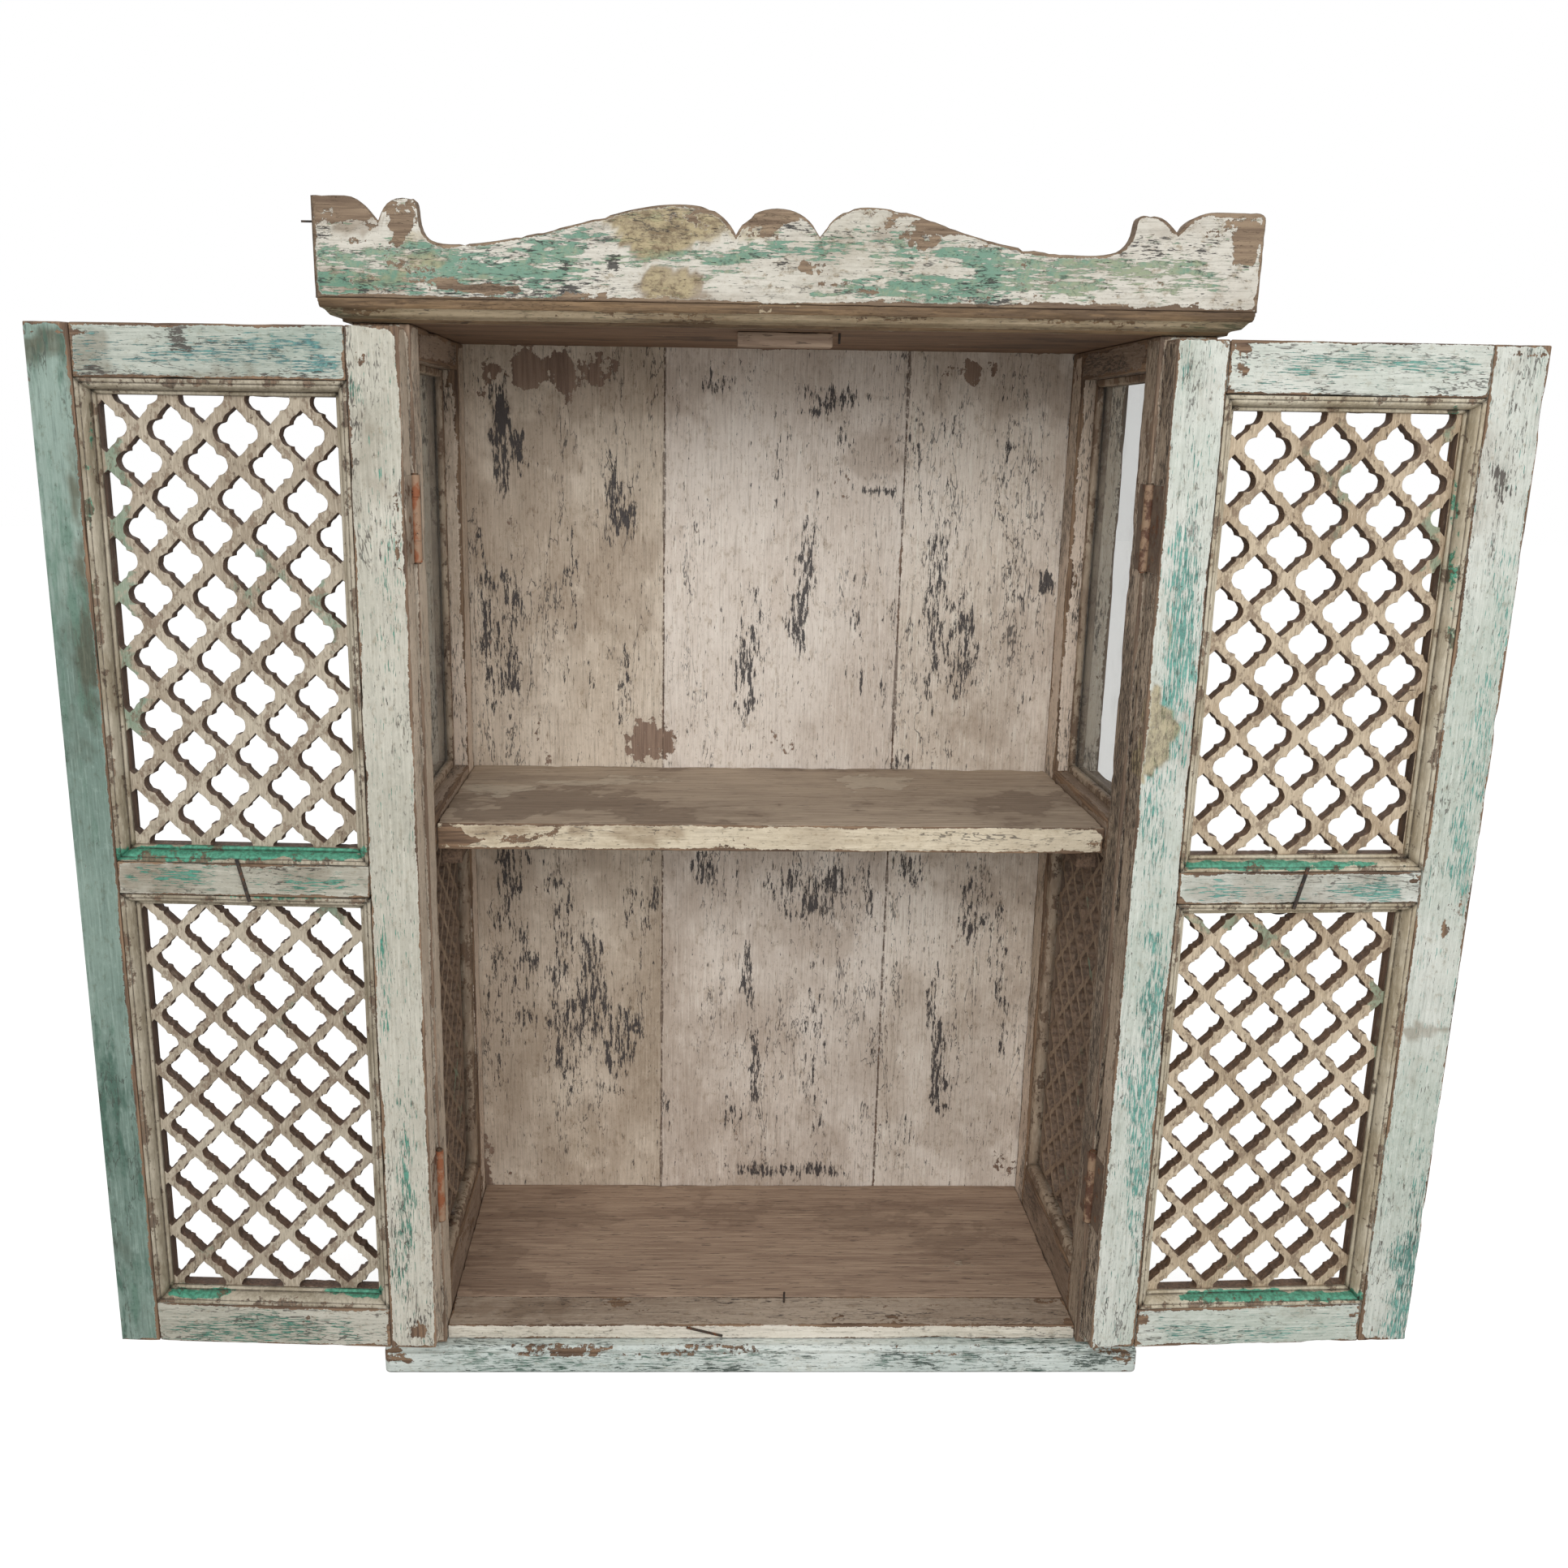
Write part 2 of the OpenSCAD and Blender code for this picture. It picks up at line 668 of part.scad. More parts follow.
module door_rail(side, z, h, groove_below, groove_above) {
    hang(side) difference() {
        translate([hinge_stile_w, 0, z]) cube([panel_w, door_t, h]);
        if (groove_below) translate([hinge_stile_w - cut, lattice_setback, z - cut])
            cube([panel_w + 2 * cut, lattice_t, tongue + cut]);
        if (groove_above) translate([hinge_stile_w - cut, lattice_setback, z + h - tongue])
            cube([panel_w + 2 * cut, lattice_t, tongue + cut]);
        if (groove_below && groove_above) translate([pull_u, -cut, pull_z]) rotate([-90, 0, 0])
            cylinder(door_t + 2 * cut, r = shank_r + pilot_gap);
    }
}

module top_rail(side) color(paint)
    door_rail(side, top_rail_z, door_top_rail_h, true, false);
module mid_rail(side) color(paint)
    door_rail(side, mid_rail_z, door_mid_rail_h, true, true);
module bottom_rail(side) color(paint)
    door_rail(side, 0, door_bottom_rail_h, false, true);

module lattice_panel(z, cells, phase) {
    translate([hinge_stile_w - tongue, 0, z - tongue]) upright(lattice_setback, lattice_t)
        jali_sheet(panel_w + 2 * tongue, panel_h + 2 * tongue, tongue + moulding_w, jali_rows,
            cells, phase);
}

module lattices(side, phases) {
    color(tan_paint) hang(side) {
        lattice_panel(upper_panel_z, upper_cells, phases[0]);
        lattice_panel(lower_panel_z, lower_cells, phases[1]);
    }
}

module mouldings(side) {
    color(tan_paint) hang(side) for (z = [lower_panel_z, upper_panel_z])
        translate([hinge_stile_w, moulding_y, z]) mirror([0, 1, 0]) rotate([90, 0, 0])
            mitred_frame(panel_w, panel_h, moulding_w, moulding_d)
                moulding_section(moulding_w, moulding_d);
}

// Ring pulls: a plate with an eye, its shank clinched over the inner face, and a loose ring

module pull_plate(side) {
    color(iron) hang(side) translate([pull_u, 0, pull_z]) {
        rotate([90, 0, 0]) cylinder(plate_t, r = rosette_r);
        translate([-eye_wire_r, -eye_out, 0]) rotate([0, 90, 0]) difference() {
            cylinder(2 * eye_wire_r, r = eye_r + eye_wire_r);
            translate([0, 0, -cut]) cylinder(2 * eye_wire_r + 2 * cut, r = eye_r - eye_wire_r);
        }
        rotate([-90, 0, 0]) cylinder(door_t, r = shank_r);
        for (turn = [0, 180]) translate([0, door_t, 0]) rotate([0, turn + leg_tilt, 0])
            translate([-leg_w / 2, 0, -leg_w / 2]) cube([leg_w, leg_t, leg_l]);
    }
}

module ring(side) {
    color(iron) hang(side) translate([pull_u, -eye_out, pull_z - ring_r]) rotate([90, 0, 0])
        rotate_extrude($fn = 48) translate([ring_r, 0]) circle(ring_wire_r, $fn = 20);
}

// Hinges: leaves let into the post and the door edge, knuckles in front of the face

module leaf_screw_places(z) {
    for (dz = screw_offsets) translate([0, 0, z + hinge_h / 2 + dz * hinge_h / 75]) children();
}

module countersunk_holes() {
    leaf_screw_places(0) translate([0, screw_y, 0]) rotate([0, 90, 0]) {
        translate([0, 0, -cut]) cylinder(leaf_t + 2 * cut, r = screw_r + pilot_gap);
        cylinder(leaf_t, r1 = screw_head_r, r2 = screw_r + pilot_gap);
    }
}

// The lower and upper quarters of the barrel, with their leaf in the post
module hinge_frame_leaves(side) {
    end_h = hinge_h / 4 - knuckle_gap;
    color(iron) on_side(side) for (z = hinge_zs) translate([half_open, 0, z]) difference() {
        union() {
            cube([leaf_t, leaf_w, hinge_h]);
            for (end_z = [0, hinge_h - end_h]) translate([0, -pin_out, end_z]) {
                cylinder(end_h, r = knuckle_r);
                cube([leaf_t, pin_out, end_h]);
            }
        }
        translate([0, -pin_out, -cut])
            cylinder(hinge_h + 2 * cut, r = hinge_pin_r + pin_clearance);
        countersunk_holes();
    }
}

// The middle half of the barrel, with its leaf in the door's edge
module hinge_door_leaves(side) {
    color(rust) hang(side) for (z = hinge_zs) translate([0, 0, z - door_z]) difference() {
        union() {
            cube([leaf_t, leaf_w, hinge_h]);
            translate([0, -pin_out, hinge_h * 0.25]) cube([leaf_t, pin_out, hinge_h / 2]);
            translate([-door_gap, -pin_out, hinge_h * 0.25]) cylinder(hinge_h / 2, r = knuckle_r);
        }
        translate([-door_gap, -pin_out, -cut])
            cylinder(hinge_h + 2 * cut, r = hinge_pin_r + pin_clearance);
        countersunk_holes();
    }
}

module hinge_pins() {
    color(iron) for (s = [left, right]) on_side(s) for (z = hinge_zs)
        translate([half_open, -pin_out, z]) {
            cylinder(hinge_h, r = hinge_pin_r);
            translate([0, 0, -pin_head_t]) cylinder(pin_head_t, r = pin_head_r);
            translate([0, 0, hinge_h]) cylinder(pin_head_t, r = pin_head_r);
        }
}

// A countersunk screw along +X, its head flush with x = 0
module leaf_screw() {
    rotate([0, 90, 0]) {
        cylinder(leaf_t, r1 = screw_head_r, r2 = screw_r);
        cylinder(screw_len, r = screw_r);
    }
}

module frame_screws() {
    color(iron) for (s = [left, right]) on_side(s) for (z = hinge_zs)
        leaf_screw_places(z) translate([half_open, screw_y, 0]) leaf_screw();
}

module door_screws(side) {
    color(iron) hang(side) for (z = hinge_zs)
        leaf_screw_places(z - door_z) translate([0, screw_y, 0]) leaf_screw();
}

plinth_front();
plinth_frame();
front_rail();
floor_board();
front_post(left);  // front_post_left
front_post(right);  // front_post_right
rear_post(left);  // rear_post_left
rear_post(right);  // rear_post_right
side_rails(left);  // side_rails_left
side_rails(right);  // side_rails_right
glass(left);  // glass_left
glass(right);  // glass_right
glazing_beads(left);  // glazing_beads_left
glazing_beads(right);  // glazing_beads_right
side_lattice(left);  // side_lattice_left
side_lattice(right);  // side_lattice_right
side_mouldings(left);  // side_mouldings_left
side_mouldings(right);  // side_mouldings_right
shelf();
shelf_cleats();
back_board_left();
back_board_middle();
back_board_right();
top_board();
hanging_rail();
cornice_front();
cornice_returns();
crest_board();
crest_blocks();
door_stop();
old_nails();
crest_wire();
hinge_stile(left);  // left_hinge_stile
free_stile(left);  // left_free_stile
top_rail(left);  // left_top_rail
mid_rail(left);  // left_mid_rail
bottom_rail(left);  // left_bottom_rail
lattices(left, left_phases);  // left_lattices
mouldings(left);  // left_mouldings
pull_plate(left);  // left_pull_plate
ring(left);  // left_ring
hinge_stile(right);  // right_hinge_stile
free_stile(right);  // right_free_stile
top_rail(right);  // right_top_rail
mid_rail(right);  // right_mid_rail
bottom_rail(right);  // right_bottom_rail
lattices(right, right_phases);  // right_lattices
mouldings(right);  // right_mouldings
pull_plate(right);  // right_pull_plate
ring(right);  // right_ring
hinge_frame_leaves(left);  // hinge_frame_leaves_left
hinge_frame_leaves(right);  // hinge_frame_leaves_right
hinge_door_leaves(left);  // hinge_door_leaves_left
hinge_door_leaves(right);  // hinge_door_leaves_right
hinge_pins();
frame_screws();
door_screws(left);  // door_screws_left
door_screws(right);  // door_screws_right
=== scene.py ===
"""Looks of the wall display cabinet: worn boards, carved lattices and layered old paint."""

import json
import math

import bmesh
import bpy
from mathutils import Matrix, Vector, noise


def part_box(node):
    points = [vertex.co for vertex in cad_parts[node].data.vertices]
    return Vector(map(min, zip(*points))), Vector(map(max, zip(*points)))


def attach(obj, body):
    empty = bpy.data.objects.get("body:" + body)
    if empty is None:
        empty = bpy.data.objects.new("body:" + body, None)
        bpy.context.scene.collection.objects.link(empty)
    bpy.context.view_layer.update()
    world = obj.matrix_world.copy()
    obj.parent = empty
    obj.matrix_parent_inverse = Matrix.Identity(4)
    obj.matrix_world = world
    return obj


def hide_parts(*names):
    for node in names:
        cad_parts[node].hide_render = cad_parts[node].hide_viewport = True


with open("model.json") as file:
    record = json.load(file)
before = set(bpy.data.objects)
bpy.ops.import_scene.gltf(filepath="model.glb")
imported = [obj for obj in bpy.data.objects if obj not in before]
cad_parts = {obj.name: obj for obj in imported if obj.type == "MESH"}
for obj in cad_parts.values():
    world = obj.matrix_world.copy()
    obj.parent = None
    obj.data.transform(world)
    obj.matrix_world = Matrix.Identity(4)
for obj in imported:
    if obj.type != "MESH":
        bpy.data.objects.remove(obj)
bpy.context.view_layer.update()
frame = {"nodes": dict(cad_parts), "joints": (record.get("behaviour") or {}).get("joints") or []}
NODES = frame["nodes"]
JOINTS = {joint["name"]: joint for joint in frame["joints"]}
LEFT, RIGHT = -1, 1
SIDE_NAMES = {LEFT: "left", RIGHT: "right"}
SAME = 1e-6
NEAR = 1e-5


def add_object(name, data):
    """A new object in the scene."""
    added = bpy.data.objects.new(name, data)
    bpy.context.scene.collection.objects.link(added)
    return added


# Camera

CAMERA_PLACE = (-0.0814, -1.2210, 0.9237)
CAMERA_YAW = 0.02244
CAMERA_PITCH = -0.23340
CAMERA_ROLL = 0.01448
PHOTO_SIZE = 1932
FOCAL_PIXELS = 1691.4
PRINCIPAL_POINT = (884.8, 939.6)
SENSOR_WIDTH = 36.0


def camera_matrix():
    """The camera's place and turn, from its yaw, pitch and roll."""
    forward = Vector((
        math.sin(CAMERA_YAW) * math.cos(CAMERA_PITCH),
        math.cos(CAMERA_YAW) * math.cos(CAMERA_PITCH),
        math.sin(CAMERA_PITCH),
    ))
    right = Vector((math.cos(CAMERA_YAW), -math.sin(CAMERA_YAW), 0))
    up = right.cross(forward)
    turned_right = math.cos(CAMERA_ROLL) * right + math.sin(CAMERA_ROLL) * up
    turned_up = math.cos(CAMERA_ROLL) * up - math.sin(CAMERA_ROLL) * right
    turn = Matrix((turned_right, turned_up, -forward)).transposed().to_4x4()
    return Matrix.Translation(CAMERA_PLACE) @ turn


CAMERA_MATRIX = camera_matrix()


def make_camera():
    """The camera at the photograph's viewing point, with its small shift."""
    data = bpy.data.cameras.new("camera")
    camera = add_object("camera", data)
    data.sensor_width = SENSOR_WIDTH
    data.lens = FOCAL_PIXELS / PHOTO_SIZE * SENSOR_WIDTH
    data.shift_x = (PHOTO_SIZE / 2 - PRINCIPAL_POINT[0]) / PHOTO_SIZE
    data.shift_y = (PRINCIPAL_POINT[1] - PHOTO_SIZE / 2) / PHOTO_SIZE
    data.clip_start = 0.05
    camera.matrix_world = CAMERA_MATRIX
    bpy.context.scene.camera = camera


# Places and sizes read from the frame

STILL = Matrix.Identity(4)


def solids(node, place=STILL):
    """Lowest and highest corner of each separate solid of a CAD node, in a local frame."""
    mesh = bmesh.new()
    mesh.from_mesh(NODES[node].data)
    bmesh.ops.remove_doubles(mesh, verts=mesh.verts, dist=SAME)
    inverse = place.inverted()
    seen, boxes = set(), []
    for first in mesh.verts:
        if first in seen:
            continue
        seen.add(first)
        queue, points = [first], []
        while queue:
            vertex = queue.pop()
            points.append(inverse @ vertex.co)
            for edge in vertex.link_edges:
                other = edge.other_vert(vertex)
                if other not in seen:
                    seen.add(other)
                    queue.append(other)
        low = Vector(map(min, zip(*points)))
        high = Vector(map(max, zip(*points)))
        boxes.append((low, high))
    mesh.free()
    return boxes


def span(node, place=STILL):
    """Lowest and highest corner of a whole CAD node, in a local frame."""
    boxes = solids(node, place)
    low = Vector(map(min, zip(*(box[0] for box in boxes))))
    high = Vector(map(max, zip(*(box[1] for box in boxes))))
    return low, high


DOOR_GAP = 0.0015


def door_frame(side):
    """A door's own frame: x away from the hinge edge, negative on the right door, y inwards, z up."""
    joint = JOINTS[f"{SIDE_NAMES[side]}_door_hinge"]
    pin = Vector(joint["pos_m"])
    opened = math.radians(joint["range_deg"][1])
    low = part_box(f"{SIDE_NAMES[side]}_hinge_stile")[0]
    foot = Matrix.Translation((pin.x, pin.y, low.z))
    return foot @ Matrix.Rotation(side * opened, 4, "Z") @ Matrix.Translation((-side * DOOR_GAP, -pin.y, 0))


DOORS = {side: door_frame(side) for side in (LEFT, RIGHT)}

# Marks left by age, and one wide darkening over the lower back, as soft ellipses (across, down, half width, half
# height, strength) in the photograph's frame

MARKS = {
    ("back_boards", "streak"): [
        (618, 545, 13, 55, 1.1), (640, 560, 8, 26, 0.9), (755, 612, 10, 45, 1), (772, 640, 10, 30, 1),
        (608, 780, 14, 62, 0.9), (628, 790, 12, 66, 0.8), (590, 700, 8, 60, 0.6), (700, 770, 9, 60, 0.6),
        (995, 690, 9, 46, 0.9), (985, 768, 11, 38, 1.1), (918, 822, 14, 60, 0.9), (934, 780, 9, 50, 0.8),
        (1150, 760, 12, 100, 0.8), (1185, 800, 14, 60, 1), (1166, 640, 10, 60, 0.5), (892, 470, 28, 11, 0.9),
        (1030, 492, 36, 13, 1), (862, 655, 7, 34, 0.5), (1130, 560, 9, 50, 0.5), (1235, 560, 8, 60, 0.5),
        (1288, 718, 9, 11, 1.6), (1250, 700, 8, 60, 0.5), (1078, 606, 20, 6, 1.4), (770, 850, 12, 40, 0.7),
        (1040, 560, 8, 40, 0.6), (960, 560, 8, 50, 0.4), (626, 1090, 13, 48, 1), (642, 1058, 20, 9, 0.8),
        (690, 1130, 14, 70, 0.8), (730, 1215, 18, 60, 1), (765, 1285, 18, 42, 1), (700, 1280, 16, 60, 0.9),
        (866, 1066, 12, 18, 1), (990, 1100, 36, 28, 0.8), (1032, 1082, 14, 18, 1), (1122, 1076, 12, 20, 1),
        (1157, 1310, 11, 50, 1.2), (1150, 1230, 9, 60, 0.6), (972, 1441, 66, 7, 1.1), (1070, 1100, 8, 40, 0.6),
        (645, 1200, 14, 70, 0.7), (612, 1250, 10, 80, 0.6), (1198, 1120, 13, 42, 0.9), (782, 1130, 12, 40, 0.7),
        (1004, 1290, 12, 70, 0.6), (1232, 1200, 9, 90, 0.6), (1120, 1400, 20, 20, 0.4), (922, 1200, 5, 36, 1.2),
        (930, 1310, 5, 42, 1.3), (806, 1105, 8, 12, 1.2),
    ],
    ("back_boards", "bare"): [
        (672, 457, 50, 17, 1.2), (715, 455, 40, 17, 1.2), (728, 458, 34, 18, 1.3), (752, 452, 20, 14, 1.1),
        (1196, 458, 30, 12, 1.3), (806, 916, 26, 24, 1), (598, 470, 14, 34, 0.7), (965, 915, 17, 12, 0.8),
        (640, 1447, 22, 9, 0.8), (596, 1432, 14, 24, 0.8), (1242, 1432, 14, 16, 0.7), (700, 478, 16, 20, 0.8),
        (820, 740, 8, 40, 0.5), (610, 900, 30, 8, 0.5),
    ],
    ("back_boards", "dark"): [
        (640, 640, 70, 110, 0.9), (600, 800, 60, 160, 0.6), (1075, 560, 30, 24, 0.8), (1022, 1160, 26, 28, 1),
        (800, 1162, 24, 24, 0.9), (620, 1180, 60, 110, 0.8), (780, 470, 90, 40, 0.7), (1240, 470, 80, 40, 0.6),
        (770, 700, 60, 90, 0.6), (560, 1350, 90, 110, 0.5), (1270, 860, 60, 100, 0.5), (940, 1070, 60, 40, 0.5),
        # The last, wide mark darkens the whole lower back, below the shelf.
        (930, 1270, 440, 215, 0.55),
    ],
    ("crest_board", "bare"): [
        (412, 254, 40, 16, 1.3), (496, 262, 18, 24, 1.3), (455, 275, 10, 8, 0.7), (1138, 284, 50, 18, 1.3),
        (1090, 268, 30, 10, 0.9), (942, 264, 34, 12, 1.0), (884, 258, 20, 5, 0.8), (806, 262, 50, 9, 0.7),
        (610, 358, 40, 6, 0.9), (700, 370, 40, 6, 0.8), (1046, 378, 36, 8, 1), (1440, 385, 90, 8, 1),
        (1300, 380, 60, 5, 0.8), (1536, 300, 14, 26, 1.1), (1005, 330, 20, 8, 0.8), (1040, 352, 30, 6, 0.7),
        (530, 350, 40, 7, 0.6), (440, 300, 20, 8, 0.4), (1205, 305, 30, 6, 0.6),
    ],
    ("crest_board", "khaki"): [
        (812, 276, 56, 28, 1), (868, 276, 36, 26, 0.9), (930, 282, 24, 16, 0.6), (822, 350, 34, 20, 0.9),
        (520, 320, 30, 8, 0.6), (470, 344, 50, 6, 0.6), (620, 344, 40, 4, 0.5), (510, 292, 16, 10, 0.6),
        (690, 345, 20, 5, 0.5),
    ],
    ("crest_board", "teal"): [
        (470, 322, 84, 16, 1.2), (430, 340, 46, 14, 0.96), (560, 334, 60, 12, 0.96), (650, 334, 60, 10, 0.96),
        (690, 318, 50, 8, 1.2), (830, 318, 84, 9, 1.28), (930, 312, 50, 7, 0.72), (1060, 300, 40, 14, 0.72),
        (1130, 356, 84, 12, 1.12), (1240, 345, 50, 22, 1.36), (1310, 350, 50, 18, 1.28),
        (1390, 328, 110, 10, 1.36), (1450, 350, 50, 10, 0.96), (980, 296, 40, 8, 0.56),
        (1080, 318, 60, 6, 0.64), (900, 340, 40, 10, 0.56), (500, 300, 24, 8, 0.64), (1200, 312, 40, 6, 0.56),
    ],
    ("crest_board", "dark"): [
        (800, 280, 34, 30, 1.6), (850, 270, 40, 18, 1.2), (822, 352, 34, 20, 1.6), (740, 300, 30, 20, 0.3),
        (1150, 290, 50, 24, 0.7), (430, 270, 40, 14, 0.8), (440, 350, 60, 12, 0.6),
    ],
    ("crest_board", "streak"): [
        (755, 328, 8, 8, 1.8), (696, 330, 5, 5, 1.8), (702, 364, 9, 6, 1.4), (386, 296, 6, 10, 1.2),
        (448, 354, 5, 5, 1.5), (1231, 377, 16, 7, 1.6), (400, 288, 12, 8, 1), (962, 322, 10, 5, 1),
    ],
    ("left_free_stile", "teal"): [
        (66, 720, 26, 120, 1), (104, 800, 18, 80, 0.8), (60, 600, 18, 70, 0.4), (122, 1300, 12, 60, 1),
        (136, 1420, 12, 70, 1), (168, 1590, 12, 36, 1.1), (84, 900, 12, 120, 0.5), (60, 480, 30, 30, 0.3),
    ],
    ("left_free_stile", "bare"): [
        (46, 408, 34, 6, 1), (98, 500, 5, 60, 0.5), (150, 1642, 24, 8, 0.8), (36, 480, 6, 90, 0.6),
        (60, 700, 5, 90, 0.5), (106, 1180, 5, 90, 0.5),
    ],
    ("left_free_stile", "dark"): [
        (50, 430, 40, 20, 1), (96, 520, 12, 90, 0.8), (112, 760, 14, 120, 0.7),
    ],
    ("left_free_stile", "streak"): [
        (60, 1030, 10, 12, 0.7), (120, 1350, 8, 30, 1), (112, 1045, 12, 10, 0.9), (100, 700, 12, 60, 0.4),
    ],
    ("left_top_rail", "teal"): [
        (262, 428, 60, 8, 0.9), (330, 424, 60, 9, 1.1), (214, 436, 30, 8, 0.9), (392, 452, 22, 8, 1.3),
        (110, 430, 34, 26, 0.5), (300, 442, 110, 6, 0.7),
    ],
    ("left_top_rail", "streak"): [
        (108, 459, 22, 7, 1.7), (150, 462, 30, 3, 1.2), (215, 415, 12, 14, 1.5), (222, 432, 14, 5, 1.2),
        (250, 424, 50, 4, 0.9), (118, 462, 26, 4, 1.3), (340, 466, 60, 3, 1.1),
    ],
    ("left_top_rail", "bare"): [
        (412, 414, 13, 10, 1.2), (404, 405, 24, 4, 0.9), (90, 408, 30, 4, 0.8),
    ],
    ("left_top_rail", "dark"): [
        (104, 440, 34, 34, 1.2), (240, 462, 90, 6, 0.8),
    ],
    ("left_hinge_stile", "teal"): [
        (432, 482, 7, 14, 1.1), (480, 680, 9, 40, 0.6), (474, 1190, 5, 70, 1.1), (502, 1480, 7, 60, 1.2),
        (494, 1540, 9, 50, 0.9), (482, 780, 9, 60, 0.4), (470, 560, 8, 40, 0.3), (498, 1380, 6, 60, 0.5),
    ],
    ("left_hinge_stile", "bare"): [
        (442, 436, 9, 16, 0.9), (432, 460, 5, 30, 0.7), (490, 560, 4, 120, 0.5), (520, 1640, 20, 8, 0.6),
    ],
    ("left_hinge_stile", "streak"): [
        (472, 636, 12, 14, 0.5), (436, 520, 12, 4, 1.4), (478, 850, 10, 14, 0.4), (520, 1628, 8, 6, 1),
    ],
    ("left_mid_rail", "teal"): [
        (214, 1078, 36, 9, 1.2), (392, 1088, 40, 7, 1.1), (276, 1064, 24, 8, 0.7),
    ],
    ("left_mid_rail", "bare"): [
        (164, 1090, 12, 12, 0.6), (340, 1066, 40, 5, 0.6),
    ],
    ("left_mid_rail", "dark"): [
        (290, 1080, 150, 22, 0.6),
    ],
    ("left_bottom_rail", "teal"): [
        (330, 1640, 82, 16, 1), (252, 1642, 32, 12, 0.9), (306, 1630, 40, 9, 0.8), (420, 1634, 30, 8, 0.4),
    ],
    ("left_bottom_rail", "bare"): [
        (206, 1612, 8, 10, 0.6),
    ],
    ("left_mouldings", "teal"): [
        (300, 1050, 130, 7, 1.2), (200, 1052, 60, 7, 1.2), (240, 1592, 36, 6, 0.9), (440, 1592, 30, 6, 0.9),
        (108, 700, 6, 180, 0.3), (340, 1104, 60, 5, 0.5),
    ],
    ("left_mouldings", "dark"): [
        (340, 478, 60, 4, 1),
    ],
    ("left_lattices", "teal"): [
        (148, 640, 10, 60, 1), (156, 760, 10, 60, 0.9), (164, 880, 10, 40, 0.8), (404, 760, 12, 60, 0.7),
        (420, 1120, 20, 20, 0.6), (140, 560, 8, 30, 0.7),
    ],
    ("right_hinge_stile", "teal"): [
        (1457, 780, 15, 100, 1.3), (1446, 890, 9, 60, 0.9), (1424, 1010, 15, 60, 0.8), (1470, 690, 9, 60, 0.6),
        (1420, 1330, 13, 150, 1.2), (1398, 1410, 10, 90, 1.1), (1434, 1200, 9, 46, 0.6),
        (1476, 600, 8, 60, 0.3), (1460, 450, 6, 20, 0.8), (1402, 1540, 9, 30, 0.6),
    ],
    ("right_hinge_stile", "bare"): [
        (1486, 430, 8, 14, 0.6), (1426, 640, 5, 60, 0.6),
    ],
    ("right_hinge_stile", "khaki"): [
        (1425, 890, 18, 34, 1.5), (1418, 928, 18, 26, 1.4), (1440, 770, 5, 20, 0.7),
    ],
    ("right_hinge_stile", "streak"): [
        (1412, 1219, 26, 2, 1.6),
    ],
    ("right_top_rail", "teal"): [
        (1680, 446, 92, 9, 1), (1620, 456, 60, 8, 0.6), (1742, 453, 52, 8, 0.8), (1560, 470, 30, 6, 0.4),
    ],
    ("right_top_rail", "bare"): [
        (1530, 446, 9, 28, 0.8), (1848, 440, 6, 26, 0.7), (1786, 480, 50, 4, 0.7),
    ],
    ("right_free_stile", "teal"): [
        (1884, 700, 9, 120, 0.5), (1852, 760, 11, 70, 0.6), (1800, 1060, 10, 50, 1), (1826, 900, 11, 80, 0.7),
        (1740, 1590, 20, 60, 1.3), (1722, 1634, 14, 22, 1.2), (1756, 1500, 15, 60, 0.8),
        (1796, 1300, 13, 60, 0.5), (1780, 1400, 12, 60, 0.5), (1810, 980, 9, 60, 0.7),
    ],
    ("right_free_stile", "streak"): [
        (1848, 596, 7, 12, 1.8), (1868, 560, 8, 60, 0.5),
    ],
    ("right_free_stile", "dark"): [
        (1752, 1268, 24, 8, 1.5), (1880, 470, 20, 40, 0.6), (1850, 800, 60, 360, 0.3),
        (1740, 1300, 10, 40, 0.8),
    ],
    ("right_free_stile", "bare"): [
        (1712, 1652, 14, 8, 1), (1888, 436, 24, 6, 0.9), (1778, 1180, 5, 50, 0.6),
    ],
    ("right_mid_rail", "teal"): [
        (1502, 1096, 25, 9, 0.9), (1682, 1098, 46, 10, 1.2), (1560, 1102, 32, 6, 0.6),
    ],
    ("right_mid_rail", "bare"): [
        (1476, 1084, 10, 8, 0.7), (1748, 1096, 7, 14, 0.7),
    ],
    ("right_mid_rail", "dark"): [
        (1610, 1094, 150, 22, 0.5),
    ],
    ("right_bottom_rail", "teal"): [
        (1480, 1640, 40, 8, 0.8), (1560, 1641, 40, 6, 0.8), (1650, 1630, 30, 6, 0.5),
    ],
    ("right_bottom_rail", "bare"): [
        (1410, 1620, 8, 14, 0.8), (1668, 1622, 8, 14, 0.6),
    ],
    ("right_mouldings", "teal"): [
        (1580, 1066, 100, 5, 0.9), (1550, 1597, 92, 6, 1), (1792, 700, 6, 200, 0.35), (1716, 1440, 6, 90, 0.5),
    ],
    ("right_lattices", "teal"): [
        (1700, 1300, 10, 90, 1), (1764, 700, 10, 120, 0.5), (1500, 1140, 30, 14, 0.6), (1500, 560, 14, 40, 0.5),
    ],
    ("shelf", "dark"): [
        (600, 1004, 46, 5, 0.9), (668, 993, 60, 5, 0.9), (740, 988, 50, 5, 0.8), (640, 984, 90, 10, 0.4),
        (860, 1000, 80, 12, 0.4), (1180, 990, 100, 12, 0.3), (598, 1024, 20, 9, 1.1), (640, 1019, 26, 6, 1),
        (712, 1020, 14, 7, 1), (796, 1026, 34, 10, 0.9),
    ],
    ("shelf", "pale"): [
        (600, 972, 40, 8, 0.7), (790, 960, 44, 5, 1), (1080, 964, 42, 8, 1.1), (690, 966, 60, 3, 0.7),
    ],
    ("shelf", "bare"): [
